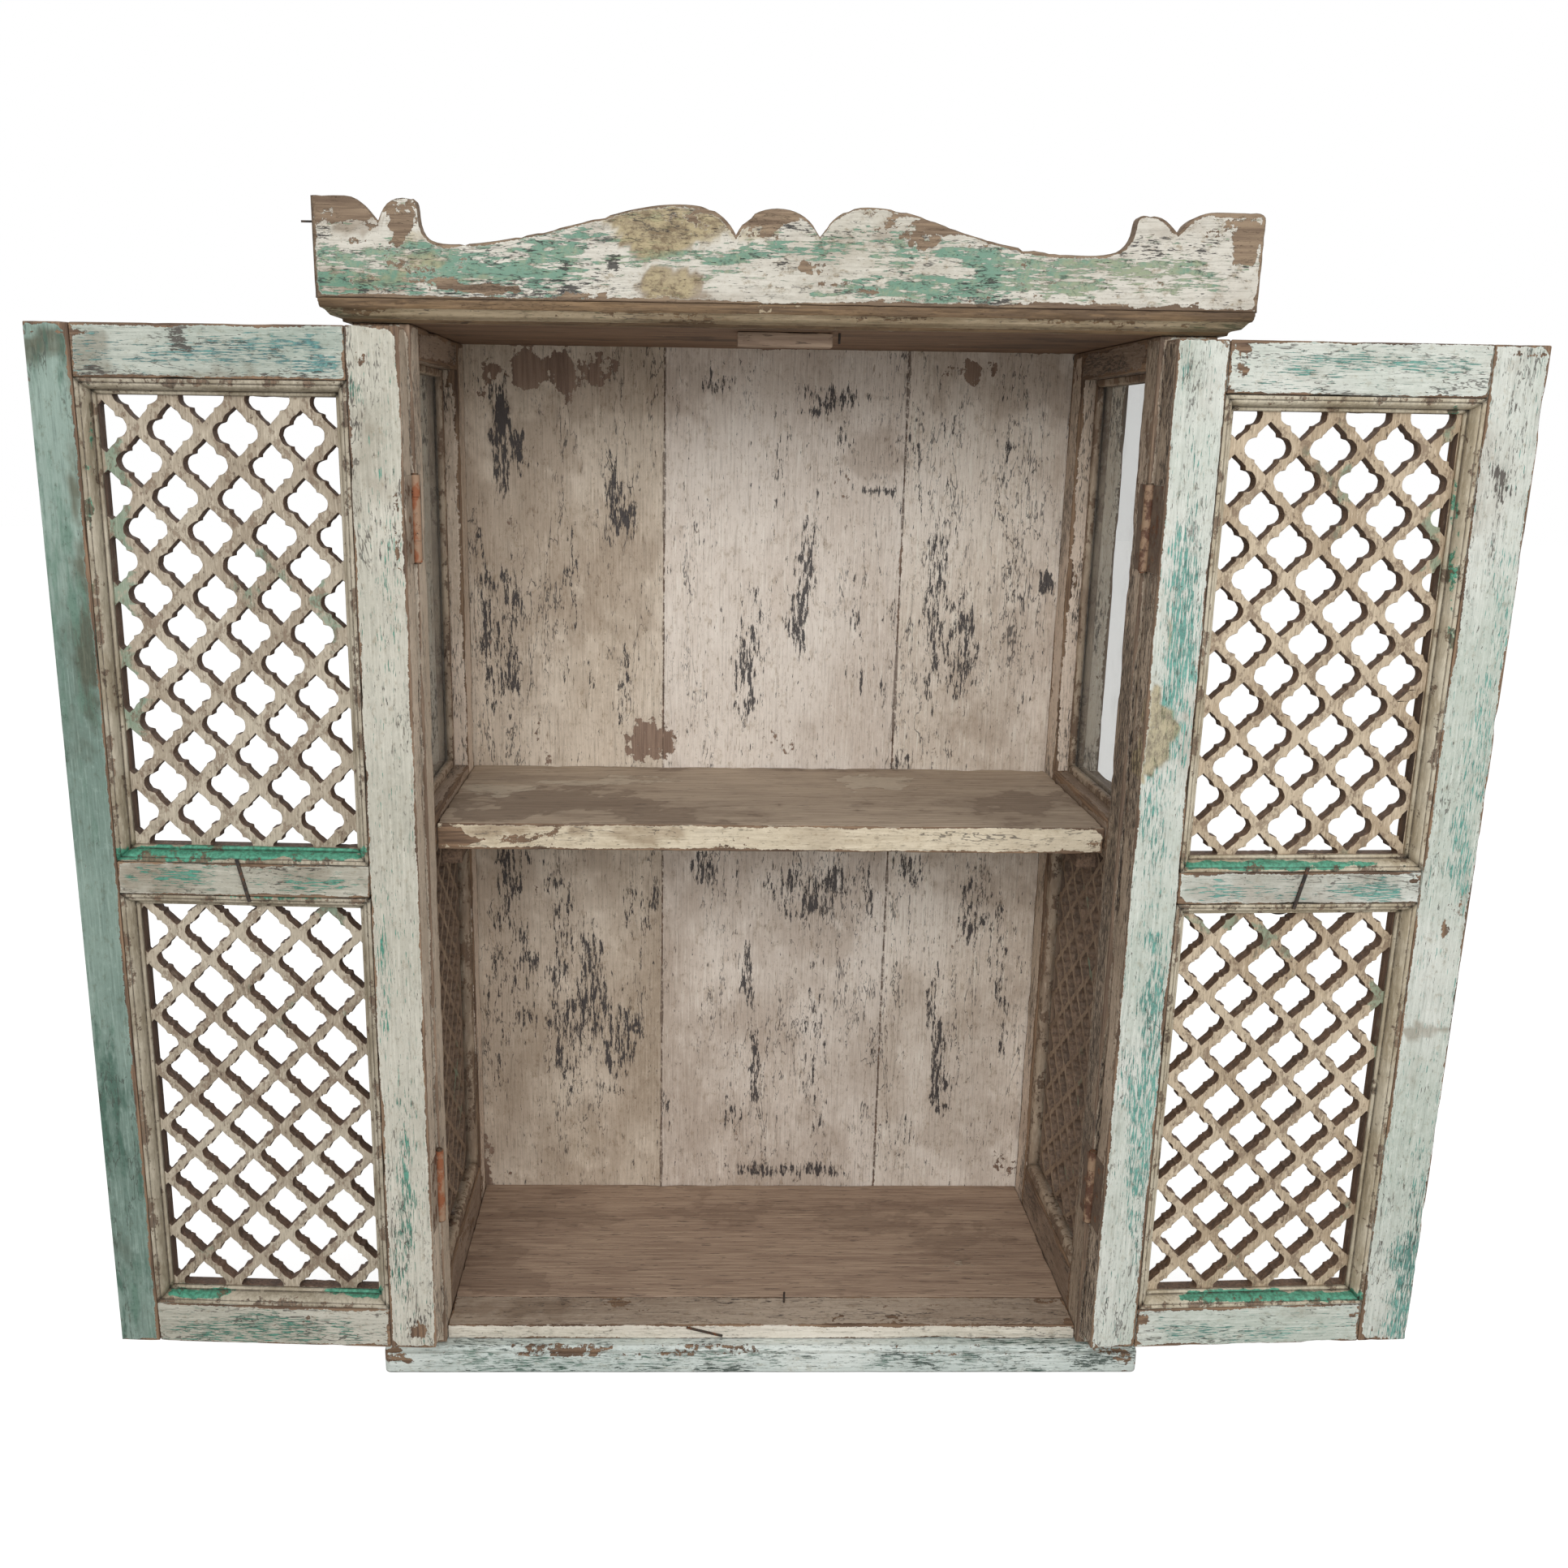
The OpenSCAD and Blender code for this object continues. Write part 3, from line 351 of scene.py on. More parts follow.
        (552, 1028, 16, 12, 1.2), (566, 1038, 22, 4, 0.9),
    ],
    ("floor_board", "dark"): [
        (618, 1578, 46, 12, 1.3), (700, 1500, 60, 12, 0.6), (1000, 1500, 150, 20, 0.4),
        (600, 1540, 40, 16, 0.5),
    ],
    ("front_rail", "dark"): [
        (620, 1610, 60, 10, 0.5),
    ],
    ("front_rail", "bare"): [
        (1320, 1625, 10, 16, 0.8),
    ],
    ("plinth_front", "teal"): [
        (640, 1680, 70, 9, 1), (580, 1672, 30, 8, 0.9), (860, 1672, 120, 7, 0.8), (1160, 1676, 70, 7, 0.7),
    ],
    ("plinth_front", "bare"): [
        (492, 1674, 18, 12, 1.1), (1386, 1676, 16, 12, 0.9), (540, 1668, 24, 4, 0.8),
    ],
}

# Meshes

NORMAL_WEIGHT = 60
RAGGED = (Vector((3.1, 0.7, 5.2)), Vector((8.4, 6.3, 1.9)))
RAGGED_SCALE = 45
MARK_REACH = 1.5
CUT_WIDTH = 0.0002
EDGE_REACH = 0.009
WAVE = 0.0004
FINE = 0.00015
CELL_DRIFT = 0.0009
CELL_GROWTH = 0.03
CUT_STEP = 0.0022
CUT_WANDER = 0.0008
SMALLEST_HOLE = 12e-6
SHEET_BEVEL = 0.0008


def tidy_mesh(mesh):
    """Joins doubled vertices, drops flat faces and turns every face outwards."""
    work = bmesh.new()
    work.from_mesh(mesh)
    bmesh.ops.remove_doubles(work, verts=work.verts, dist=SAME)
    bmesh.ops.dissolve_degenerate(work, edges=work.edges, dist=SAME)
    bmesh.ops.recalc_face_normals(work, faces=work.faces)
    work.to_mesh(mesh)
    work.free()
    mesh.shade_smooth()


def put_mesh(name, mesh, place=STILL):
    """A smooth object from a finished mesh."""
    tidy_mesh(mesh)
    piece = add_object(name, mesh)
    piece.matrix_world = place
    piece.modifiers.new("soft normals", "WEIGHTED_NORMAL").weight = NORMAL_WEIGHT
    return piece


def make_object(name, vertices, faces, place=STILL, **marks):
    """A smooth mesh object from plain lists, with a value at each vertex for every mark."""
    mesh = bpy.data.meshes.new(name)
    mesh.from_pydata([tuple(v) for v in vertices], [], faces)
    for mark, values in marks.items():
        mesh.attributes.new(mark, "FLOAT", "POINT").data.foreach_set("value", values)
    return put_mesh(name, mesh, place)


def set_marks(piece, name, spots):
    """Marks soft ellipses (across, down, half width, half height, strength) where the photograph shows them."""
    mesh = piece.data
    layer = mesh.attributes.get(name) or mesh.attributes.new(name, "FLOAT", "POINT")
    values = [0.0] * len(mesh.vertices)
    layer.data.foreach_get("value", values)
    to_camera = CAMERA_MATRIX.inverted() @ piece.matrix_world
    for number, vertex in enumerate(mesh.vertices):
        seen = to_camera @ vertex.co
        across = PRINCIPAL_POINT[0] - FOCAL_PIXELS * seen.x / seen.z
        down = PRINCIPAL_POINT[1] + FOCAL_PIXELS * seen.y / seen.z
        spot = piece.matrix_world @ vertex.co * RAGGED_SCALE
        ragged = [0.7 * noise.fractal(spot + shift, 0.7, 2.2, 5) for shift in RAGGED]
        for x, y, half_width, half_height, strength in spots:
            away = math.hypot((across - x) / half_width + ragged[0], (down - y) / half_height + ragged[1])
            if away < MARK_REACH:
                values[number] = max(values[number], strength * min(1.0, 2 * (MARK_REACH - away)))
    layer.data.foreach_set("value", values)


def finish_piece(piece, body, slot, material, *replaced):
    """Gives a piece its marks, material and body, and hides the CAD nodes it stands for; slot is not used."""
    marked = "back_boards" if "back_board" in replaced[0] else replaced[0]
    for (node, mark), spots in MARKS.items():
        if node == marked:
            set_marks(piece, mark, spots)
    piece.data.materials.clear()
    piece.data.materials.append(material)
    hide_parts(*replaced)
    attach(piece, body)
    return piece


def ticks(length, radius, step, cuts=()):
    """Grid lines along one side of a board, closer together over its rounded edges and at sharp cuts."""
    count = max(1, round((length - 2 * radius) / step))
    run = [radius + (length - 2 * radius) * i / count for i in range(count + 1)]
    sharp = [cut + side * CUT_WIDTH for cut in cuts for side in (-1, 1)]
    run = [t for t in run if all(abs(t - cut) > 4 * CUT_WIDTH for cut in cuts)] + sharp
    return sorted([0, radius * 0.3, *run, length - radius * 0.3, length])


def shell(lines):
    """Grid points on the surface of a box, and its faces, as indices into those points."""
    counts = [len(line) for line in lines]
    index, points, faces = {}, [], []

    def point(key):
        if key not in index:
            index[key] = len(points)
            points.append(Vector((lines[0][key[0]], lines[1][key[1]], lines[2][key[2]])))
        return index[key]

    for axis in range(3):
        first, second = (axis + 1) % 3, (axis + 2) % 3
        for end in (0, counts[axis] - 1):
            for i in range(counts[first] - 1):
                for j in range(counts[second] - 1):
                    corners = []
                    for di, dj in ((0, 0), (1, 0), (1, 1), (0, 1)):
                        key = [0, 0, 0]
                        key[axis], key[first], key[second] = end, i + di, j + dj
                        corners.append(point(tuple(key)))
                    faces.append(corners if end else corners[::-1])
    return points, faces


def worn_box(low, high, grain, radius, step, chip, seed, cuts):
    """Vertices, faces and edge wear of one board: rounded edges, small chips and a slight waviness."""
    size = high - low
    radius = min(radius, min(size) * 0.45)
    lines = [ticks(size[a], radius, step, [cut - low[a] for cut in cuts.get(a, ())]) for a in range(3)]
    points, faces = shell(lines)
    shift = Vector((seed * 3.7, seed * 1.9, seed * 5.3))
    vertices, worn = [], []
    for p in points:
        core = Vector(min(max(p[a], radius), size[a] - radius) for a in range(3))
        away = (p - core).normalized()
        nearest = sorted(min(p[a], size[a] - p[a]) for a in range(3))
        edge = max(0.0, 1 - nearest[1] / EDGE_REACH)
        stretched = Vector(p[a] * (0.35 if a == grain else 1) for a in range(3))
        dent = 0.5 + 0.5 * noise.noise(p * 6 + shift)
        rough = noise.noise(stretched * 90 + shift)
        bite = max(0.0, noise.noise(stretched * 75 - shift) + 0.35 * noise.noise(stretched * 260 + shift) - 0.12)
        depth = WAVE * dent + FINE * abs(rough) + chip * edge * edge * bite
        vertices.append(low + core + away * (radius - depth))
        worn.append(edge)
    return vertices, faces, worn


def make_boards(name, boxes, grain, place=STILL, radius=0.0016, step=0.007, chip=0.0035, seed=1, cuts={},
                shape=Vector):
    """One object made of worn boards, marked 1 at their edges; shape may move each vertex, as a recess does."""
    vertices, faces, worn = [], [], []
    for number, (low, high) in enumerate(boxes):
        more, quads, edges = worn_box(low, high, grain, radius, step, chip, seed + number, cuts)
        faces += [[i + len(vertices) for i in quad] for quad in quads]
        vertices += more
        worn += edges
    return make_object(name, [shape(vertex) for vertex in vertices], faces, place, edge=worn)


# Panel mouldings: mitred strips round the lattices


def moulding_profile(width, depth):
    """Section of a door moulding, from the stile to the lattice: a fillet, an ovolo, a quirk and a bead."""
    ovolo = [(0.30 + 0.40 * math.sin(a), 0.30 + 0.64 * math.cos(a)) for a in (0.15, 0.45, 0.75, 1.05, 1.35)]
    bead = [(0.86 + 0.12 * math.cos(a), 0.16 + 0.12 * math.sin(a)) for a in (2.6, 2.0, 1.57, 1.1, 0.5, 0.0)]
    shares = [(0, 0), (0, 0.93), (0.06, 0.985), (0.20, 0.985), (0.26, 0.95), (0.29, 0.86)]
    shares += ovolo + [(0.725, 0.20)] + bead + [(0.985, 0)]
    return [(x * width, y * depth) for x, y in shares]


def quirks(profile, width, depth):
    """1 in a profile's two grooves and at its outer line, where the paint is darkened, and 0 elsewhere."""
    marks = []
    for x, y in profile:
        share_x, share_y = x / width, y / depth
        groove = abs(share_x - 0.29) < 0.02 or abs(share_x - 0.725) < 0.02 or (share_x < 0.01 and share_y > 0.5)
        marks.append(1.0 if groove else 0.0)
    return marks


def strip_frame(low, high, profile, lift, seed, wobble=0.00035, step=0.007):
    """Four mitred strips round an opening. lift(x, z, height) puts a point of the opening's plane in place."""
    vertices, faces, hollow, worn = [], [], [], []
    width, depth = (max(p[axis] for p in profile) for axis in (0, 1))
    marks = quirks(profile, width, depth)
    sides = [
        ((low[0], low[1]), (1, 0), (0, 1), high[0] - low[0]),
        ((high[0], low[1]), (0, 1), (-1, 0), high[1] - low[1]),
        ((high[0], high[1]), (-1, 0), (0, -1), high[0] - low[0]),
        ((low[0], high[1]), (0, -1), (1, 0), high[1] - low[1]),
    ]
    for number, (start, along, inwards, length) in enumerate(sides):
        count = max(2, round(length / step))
        base = len(vertices)
        shift = Vector((seed * 2.3 + number * 7.1, 0, 0))
        for s in range(count + 1):
            for (x, y), mark in zip(profile, marks):
                run = x + (length - 2 * x) * s / count
                wave = noise.noise(Vector((run * 35, x * 160, y * 160)) + shift)
                slow = noise.noise(Vector((run * 9, 3.1, 5.7)) + shift)
                inset = x + wobble * slow if 0 < x < width else x
                height = y - (wobble * (0.6 + abs(wave)) if y > 0 else 0)
                u = start[0] + along[0] * run + inwards[0] * inset
                v = start[1] + along[1] * run + inwards[1] * inset
                vertices.append(lift(u, v, height))
                hollow.append(mark)
                worn.append(1.0 if y > depth * 0.9 and mark == 0 else 0.0)
        points = len(profile)
        for s in range(count):
            for i in range(points):
                j = (i + 1) % points
                a, b = base + s * points, base + (s + 1) * points
                faces.append([a + i, b + i, b + j, a + j])
        faces.append([base + i for i in range(points)])
        faces.append([base + count * points + i for i in range(points)])
    return vertices, faces, hollow, worn


def make_mouldings(name, frames, place=STILL):
    """One object from several strip frames."""
    vertices, faces, hollow, worn = [], [], [], []
    for more, quads, hollows, edges in frames:
        faces += [[i + len(vertices) for i in quad] for quad in quads]
        vertices += more
        hollow += hollows
        worn += edges
    return make_object(name, vertices, faces, place, hollow=hollow, edge=worn)


# Carved sheets: the lattices


def half_cell(width, height, lobe):
    """The right side of one pierced cell, from its top point to its bottom point."""
    w, h = width / 2, height / 2
    shoulder = [(0, h), (0.12 * w, 0.89 * h), (0.26 * w, 0.77 * h), (0.39 * w, 0.66 * h), (0.50 * w, 0.55 * h),
                (0.53 * w, 0.42 * h), (0.73 * w, 0.37 * h)]
    centre = w - lobe
    start = min(math.atan2(0.37 * h, 0.73 * w - centre), math.acos(min(1.0, (0.73 * w - centre) / lobe)))
    arc = [start * (1 - i / 4) for i in range(9)]
    side = [(centre + lobe * math.cos(a), lobe * math.sin(a)) for a in arc]
    return shoulder + side + [(x, -y) for x, y in shoulder[::-1]]


def clip(polygon, low, high):
    """The part of a polygon inside a rectangle."""
    limits = ((0, low[0], True), (0, high[0], False), (1, low[1], True), (1, high[1], False))
    for axis, limit, keep_above in limits:
        kept = []
        for i, current in enumerate(polygon):
            before = polygon[i - 1]
            inside = (current[axis] >= limit) == keep_above
            was_inside = (before[axis] >= limit) == keep_above
            if inside != was_inside:
                share = (limit - before[axis]) / (current[axis] - before[axis])
                kept.append(tuple(before[a] + share * (current[a] - before[a]) for a in (0, 1)))
            if inside:
                kept.append(current)
        polygon = kept
    return polygon


def rectangle(width, height):
    return [(0, 0), (width, 0), (width, height), (0, height)]


def area(polygon):
    """A polygon's area, negative when it runs clockwise."""
    return sum(a[0] * b[1] - b[0] * a[1] for a, b in zip(polygon, polygon[1:] + polygon[:1])) / 2


def refined(polygon, step):
    """A polygon with extra points, so that no side is longer than step."""
    points = []
    for a, b in zip(polygon, polygon[1:] + polygon[:1]):
        parts = max(1, math.ceil(math.dist(a, b) / step))
        points += [tuple(a[k] + (b[k] - a[k]) * i / parts for k in (0, 1)) for i in range(parts)]
    return points


def hand_cut(polygon, amount, seed, low, high):
    """A polygon whose points wander a little, except those on the border rectangle."""
    moved = []
    for x, y in polygon:
        on_border = min(abs(x - low[0]), abs(x - high[0]), abs(y - low[1]), abs(y - high[1])) < NEAR
        if on_border:
            moved.append((x, y))
            continue
        spot = Vector((x * 230, y * 230, seed * 1.7))
        moved.append((x + amount * noise.noise(spot), y + amount * noise.noise(spot + Vector((9.2, 4.1, 3.3)))))
    return moved


def cleaned(polygon):
    """A polygon without doubled points and without spikes."""
    kept = list(polygon)
    changed = True
    while changed and len(kept) > 3:
        changed = False
        for i, point in enumerate(kept):
            before, after = Vector(kept[i - 1]), Vector(kept[(i + 1) % len(kept)])
            back, ahead = before - Vector(point), after - Vector(point)
            if back.length < 0.0006 or back.normalized().dot(ahead.normalized()) > 0.80:
                kept.pop(i)
                changed = True
                break
    return kept


def lattice_holes(size, border, rows, pitch, cell, phase, seed, drop=0.0, skew=0.0):
    """The cells of a pierced sheet, in rows staggered by half a cell, cut off at its plain border. The whole
    pattern may sit lower by drop and rise by skew along the sheet."""
    width, height = size
    row_height = (height - 2 * border) / rows
    low, high = (border, border), (width - border, height - border)
    half = half_cell(*cell)
    outline = half + [(-x, y) for x, y in half[-2:0:-1]]
    holes = []
    for row in range(-1, 2 * rows + 2):
        for column in range(-1, math.ceil(width / pitch) + 2):
            key = Vector((row * 1.37 + seed, column * 2.11, 0.7))
            shift_x, shift_y = (noise.noise(key + Vector(far)) * CELL_DRIFT for far in ((0, 0, 0), (5.5, 0, 2)))
            grow = 1 + noise.noise(key + Vector((0, 7.7, 3))) * CELL_GROWTH
            x = border + phase + (column + (row % 2) / 2) * pitch + shift_x
            y = high[1] - row * row_height / 2 + shift_y - drop + skew * (x - width / 2)
            polygon = clip([(x + grow * px, y + grow * py) for px, py in outline], low, high)
            if len(polygon) < 3 or abs(area(polygon)) < SMALLEST_HOLE:
                continue
            hole = refined(cleaned(polygon), CUT_STEP)
            hole = cleaned(hand_cut(hole, CUT_WANDER, seed + row + column, low, high))
            if len(hole) > 3 and abs(area(hole)) > SMALLEST_HOLE:
                holes.append(hole)
    return holes


def wound(polygon, turn):
    """A polygon running anticlockwise for turn 1 and clockwise for turn -1."""
    return polygon if area(polygon) * turn > 0 else polygon[::-1]


def carved_sheet(name, sheets, thickness, bevel=SHEET_BEVEL):
    """A mesh of sheets in the XZ plane, thick towards +y, from (outline, holes) pairs, with softened edges."""
    curve = bpy.data.curves.new(name, "CURVE")
    curve.dimensions = "2D"
    curve.fill_mode = "BOTH"
    curve.extrude = thickness / 2 - bevel
    curve.bevel_depth = bevel
    curve.bevel_resolution = 1
    curve.offset = -bevel
    rings = [ring for outline, holes in sheets for ring in [wound(outline, 1), *(wound(h, -1) for h in holes)]]
    for polygon in rings:
        spline = curve.splines.new("POLY")
        spline.points.add(len(polygon) - 1)
        for point, (x, y) in zip(spline.points, polygon):
            point.co = (x, y, 0, 1)
        spline.use_cyclic_u = True
    drawn = add_object(f"{name}_drawn", curve)
    bpy.context.view_layer.update()
    mesh = bpy.data.meshes.new_from_object(drawn.evaluated_get(bpy.context.evaluated_depsgraph_get()))
    bpy.data.objects.remove(drawn)
    mesh.transform(Matrix.Translation((0, thickness / 2, 0)) @ Matrix.Rotation(math.radians(90), 4, "X"))
    return mesh


# Materials: wood under layers of old paint, made of noise stretched along each board's grain

GRIME = (196, 184, 166)
BROWN_STAIN = (150, 124, 96)
KHAKI = (186, 170, 130), (122, 104, 74)
SPECKS = (84, 70, 58)
JOINT_DIRT = (96, 78, 66)
PAINT_ROUGHNESS = 0.52
WOOD_ROUGHNESS = 0.68
PIN_PLACE = (0.320, -0.0048)


def colour(red, green, blue):
    """A shader colour from the usual 0 to 255 scale."""
    parts = [v / 255 for v in (red, green, blue)]
    return tuple(v / 12.92 if v <= 0.04045 else ((v + 0.055) / 1.055) ** 2.4 for v in parts) + (1.0,)


def lighter(tone, amount):
    """A 0 to 255 colour raised by an amount."""
    return [min(255, v + amount) for v in tone]


def darker(tone, share):
    """A 0 to 255 colour times a share."""
    return [v * share for v in tone]


class Value:
    """One output of a node tree, with the sums that paints are made of."""

    def __init__(self, tree, socket):
        self.tree = tree
        self.socket = socket

    def maths(self, operation, *other):
        return self.tree.add("ShaderNodeMath", dict(enumerate((self, *other))), operation=operation)

    def __add__(self, other):
        return self.maths("ADD", other)

    def __sub__(self, number):
        return self.maths("ADD", -number)

    def __mul__(self, other):
        return self.maths("MULTIPLY", other)

    def __abs__(self):
        return self.maths("ABSOLUTE")

    def most(self, other):
        return self.maths("MAXIMUM", other)

    def rise(self, low, high):
        """0 below low, 1 above high and a smooth slope between; low may be the higher one."""
        inputs = {"Value": self, "From Min": min(low, high), "From Max": max(low, high),
                  "To Min": float(low > high), "To Max": float(low <= high)}
        return self.tree.add("ShaderNodeMapRange", inputs, interpolation_type="SMOOTHSTEP")


class Tree:
    """A node tree. Its methods add nodes and give back their outputs."""

    def __init__(self, owner):
        owner.use_nodes = True
        self.nodes = owner.node_tree.nodes
        self.links = owner.node_tree.links

    def feed(self, node, inputs):
        """Links values to a node's inputs, or sets them to plain numbers and colours."""
        for key, value in inputs.items():
            if isinstance(value, Value):
                self.links.new(value.socket, node.inputs[key])
            else:
                node.inputs[key].default_value = value

    def add(self, kind, inputs, output=0, **settings):
        node = self.nodes.new(kind)
        for key, value in settings.items():
            setattr(node, key, value)
        self.feed(node, inputs)
        return Value(self, node.outputs[output])


class Shader(Tree):
    """Builds one material, whose wood grain runs along one axis."""

    def __init__(self, name, grain=2):
        self.material = bpy.data.materials.new(name)
        super().__init__(self.material)
        self.surface = self.nodes["Principled BSDF"]
        self.grain = grain
        self.place = self.add("ShaderNodeTexCoord", {}, "Object")

    def noise(self, size, stretch=1.0, detail=3.0, rough=0.55, shift=0.0, twist=0.0):
        """Even noise from 0 to 1 whose lumps are about size metres across and drawn out along the grain."""
        scale = [1.0, 1.0, 1.0]
        scale[self.grain] = 1 / stretch
        place = {"Vector": self.place, "Location": (shift, shift * 1.7, shift * 0.6), "Scale": scale}
        inputs = {"Vector": self.add("ShaderNodeMapping", place), "Scale": 0.6 / size, "Detail": detail,
                  "Roughness": rough, "Distortion": twist}
        return self.add("ShaderNodeTexNoise", inputs)

    def hairs(self, size, stretch, shift, width=0.013):
        """1 along thin wandering lines, where a noise of this size crosses its middle."""
        return abs(self.noise(size, stretch, 4, 0.62, shift, 0.3) - 0.5).rise(width, width * 0.35)

    def mark(self, name):
        return self.add("ShaderNodeAttribute", {}, "Fac", attribute_name=name)

    def part(self, vector, axis):
        return self.add("ShaderNodeSeparateXYZ", {0: vector}, axis)

    def mix(self, factor, first, second, blend="MIX"):
        """A blend of two colours, each of them a value or a 0 to 255 triple."""
        first, second = (v if isinstance(v, Value) else colour(*v) for v in (first, second))
        inputs = {0: factor, 6: first, 7: second}
        return self.add("ShaderNodeMix", inputs, 2, data_type="RGBA", blend_type=blend)

    def finish(self, base, rough, heights, metal=0.0):
        """Colour, roughness and a bump made of (height, metres) pairs."""
        normal = {}
        for height, distance in heights:
            inputs = {"Height": height, "Distance": distance, "Strength": 1.0, **normal}
            normal = {"Normal": self.add("ShaderNodeBump", inputs)}
        self.feed(self.surface, {"Base Color": base, "Roughness": rough, "Metallic": metal, **normal})
        return self.material


def wood_layer(s, dark, pale):
    """Brown wood with fine grain lines; gives its colour and its height."""
    fibres = s.noise(0.0016, 26, 3, 0.65)
    bands = s.noise(0.014, 10, 3, shift=2.3, twist=0.4)
    return s.mix((fibres * 0.65 + bands * 0.35).rise(0.36, 0.64), dark, pale), fibres


def brushed(s, cloud, brush, top, shade, light, deep):
    """Paint clouded in two tones with brush lines. Light and deep lines each have a start, full level and
    strength, and how much lighter or darker they are."""
    coat = s.mix(cloud.rise(0.38, 0.62), top, shade)
    coat = s.mix(brush.rise(*light[:2]) * light[2], coat, lighter(top, light[3]))
    return s.mix(brush.rise(*deep[:2]) * deep[2], coat, darker(shade, deep[3]))


def old_paint(name, grain, top, shade, under=(66, 156, 134), under_dark=(34, 110, 92), dark=(88, 68, 54),
              pale=(150, 122, 96), pore=(78, 70, 64), edge=0.72, chips=0.70, under_clouds=0.70, pores=0.60,
              pore_clouds=0.58, stains=0.5, islands=(0.0007, 13, 4), soft=0.0, grime=0.55,
              dashes=(0.0010, 7, 0.12), joints=()):
    """Old brushed paint. The levels edge, chips, under_clouds, pores and pore_clouds show more edge wear, bare
    chips, undercoat, open pores and clusters of them when they are lower. stains and grime are the strengths of
    the soft brown and the fine grey dirt. islands is the size, length and detail of the undercoat's patches,
    whose edges soft blurs. dashes is the size, length and crowding of the pores. joints are dark lines at x."""
    s = Shader(name, grain)
    wood = wood_layer(s, dark, pale)[0]
    cloud = s.noise(0.09, 2, 3, 0.6, 8.7)
    patch = s.noise(0.022, 2.6, 9, 0.68, 3.3, 0.3)
    brush = s.noise(0.0011, 24, 3, 0.65, 5.1)
    fine = s.noise(0.0035, 1, 6, 0.72, 6.9)
    clump = s.noise(0.030, 4, 3, 0.6, 23.5)
    mottle = s.noise(0.0042, 1.6, 8, 0.80, 33.3)

    coat = brushed(s, cloud, brush, top, shade, (0.52, 0.70, 0.42, 24), (0.48, 0.32, 0.42, 0.80))
    coat = s.mix(mottle.rise(0.52, 0.66) * grime, coat, GRIME, "MULTIPLY")
    coat = s.mix(mottle.rise(0.47, 0.36) * 0.35, coat, lighter(top, 16))
    stain = (s.noise(0.05, 1.5, 5, 0.6, 19.9) + s.mark("dark") * 0.3).rise(0.52, 0.80)
    coat = s.mix(stain * stains, coat, BROWN_STAIN, "MULTIPLY")

    zone = clump.rise(under_clouds, under_clouds + 0.12) + s.mark("teal")
    showing = (s.noise(*islands, 0.65, 16.1) + zone * 0.13).rise(0.625 - soft, 0.665 + soft)
    undercoat = s.mix((fine * 0.5 + clump * 0.5).rise(0.42, 0.58), under, under_dark)
    undercoat = s.mix(mottle.rise(0.55, 0.64), undercoat, darker(under_dark, 0.66))
    coat = s.mix(showing * 0.88, coat, undercoat)
    olive = (s.mark("khaki") + (patch - 0.5) * 1.6).rise(0.30, 0.95)
    coat = s.mix(olive * 0.8, coat, s.mix(mottle.rise(0.42, 0.60), *KHAKI))

    crowd = s.noise(0.035, 3, 4, 0.6, 27.7).rise(pore_clouds, pore_clouds + 0.14) + s.mark("streak")
    dash = s.noise(*dashes[:2], 5, 0.72, 12.4) + crowd * dashes[2]
    pored = dash.rise(pores + 0.045, pores + 0.068)
    coat = s.mix(pored * 0.92, coat, pore)
    cracked = s.hairs(0.010, 5, 37.9) * (clump + mottle * 0.6).rise(0.78, 0.90)
    coat = s.mix(cracked * 0.75, coat, darker(pore, 0.9))

    arris = s.mark("edge") + ((patch - 0.5) * 1.5 + (fine - 0.5) * 0.7)
    flaked = patch + (fine - 0.5) * 0.35 + s.mark("bare") * 0.21
    bare = arris.rise(edge, edge + 0.03).most(flaked.rise(chips, chips + 0.008))
    rim = arris.rise(edge - 0.14, edge).most(flaked.rise(chips - 0.022, chips - 0.004))
    coat = s.mix(rim * 0.35, coat, lighter(top, 14))
    base = s.mix(bare, coat, wood)
    base = s.mix(s.noise(0.0013, 1, 2, 0.8, 15.2).rise(0.70, 0.74) * 0.5, base, SPECKS)
    for x in joints:
        near = (abs(s.part(s.place, 0) - x) + (patch - 0.5) * 0.008).rise(0.0017, 0.0006)
        base = s.mix(near * (fine.rise(0.36, 0.52) * 0.8), base, JOINT_DIRT)

    film = bare * -1.0 + (showing * -0.3 + pored * -0.6)
    return s.finish(base, bare * 0.12 + brush * 0.2 + PAINT_ROUGHNESS,
                    [(film, 0.0006), (brush, 0.0005), (fine, 0.0005)])


def bare_wood(name, grain, dark, pale, stain=(60, 46, 37), residue=(206, 194, 172), left_over=0.64, stains=0.55):
    """Dull old wood with darker stains and a little paint left on it; a lower left_over leaves more."""
    s = Shader(name, grain)
    wood, fibres = wood_layer(s, dark, pale)
    fine = s.noise(0.003, 4, 6, 0.7, 9.7)
    damp = s.noise(0.06, 1.6, 6, 0.62, 4.1) + s.mark("dark") * 0.28
    base = s.mix(damp.rise(0.50, 0.72) * stains, wood, stain)
    outline = damp.rise(0.60, 0.615) * (damp.rise(0.625, 0.66) * -1.0 + 1.0)
    base = s.mix(outline * (stains * 0.6), base, stain)
    left = s.noise(0.02, 2.5, 8, 0.68, 31.0) * 0.8 + fine * 0.2 + s.mark("pale") * 0.2 + s.mark("edge") * 0.05
    kept = left.rise(left_over, left_over + 0.02)
    base = s.mix(kept * 0.75, base, residue)
    pores = s.noise(0.0016, 9, 3, 0.6, 12.4).rise(0.62, 0.66)
    base = s.mix(pores * 0.6, base, darker(dark, 0.62))
    return s.finish(base, fine * 0.2 + WOOD_ROUGHNESS,
                    [(fibres, 0.0006), (pores, -0.0004), (kept, 0.0003), (fine, 0.0006)])


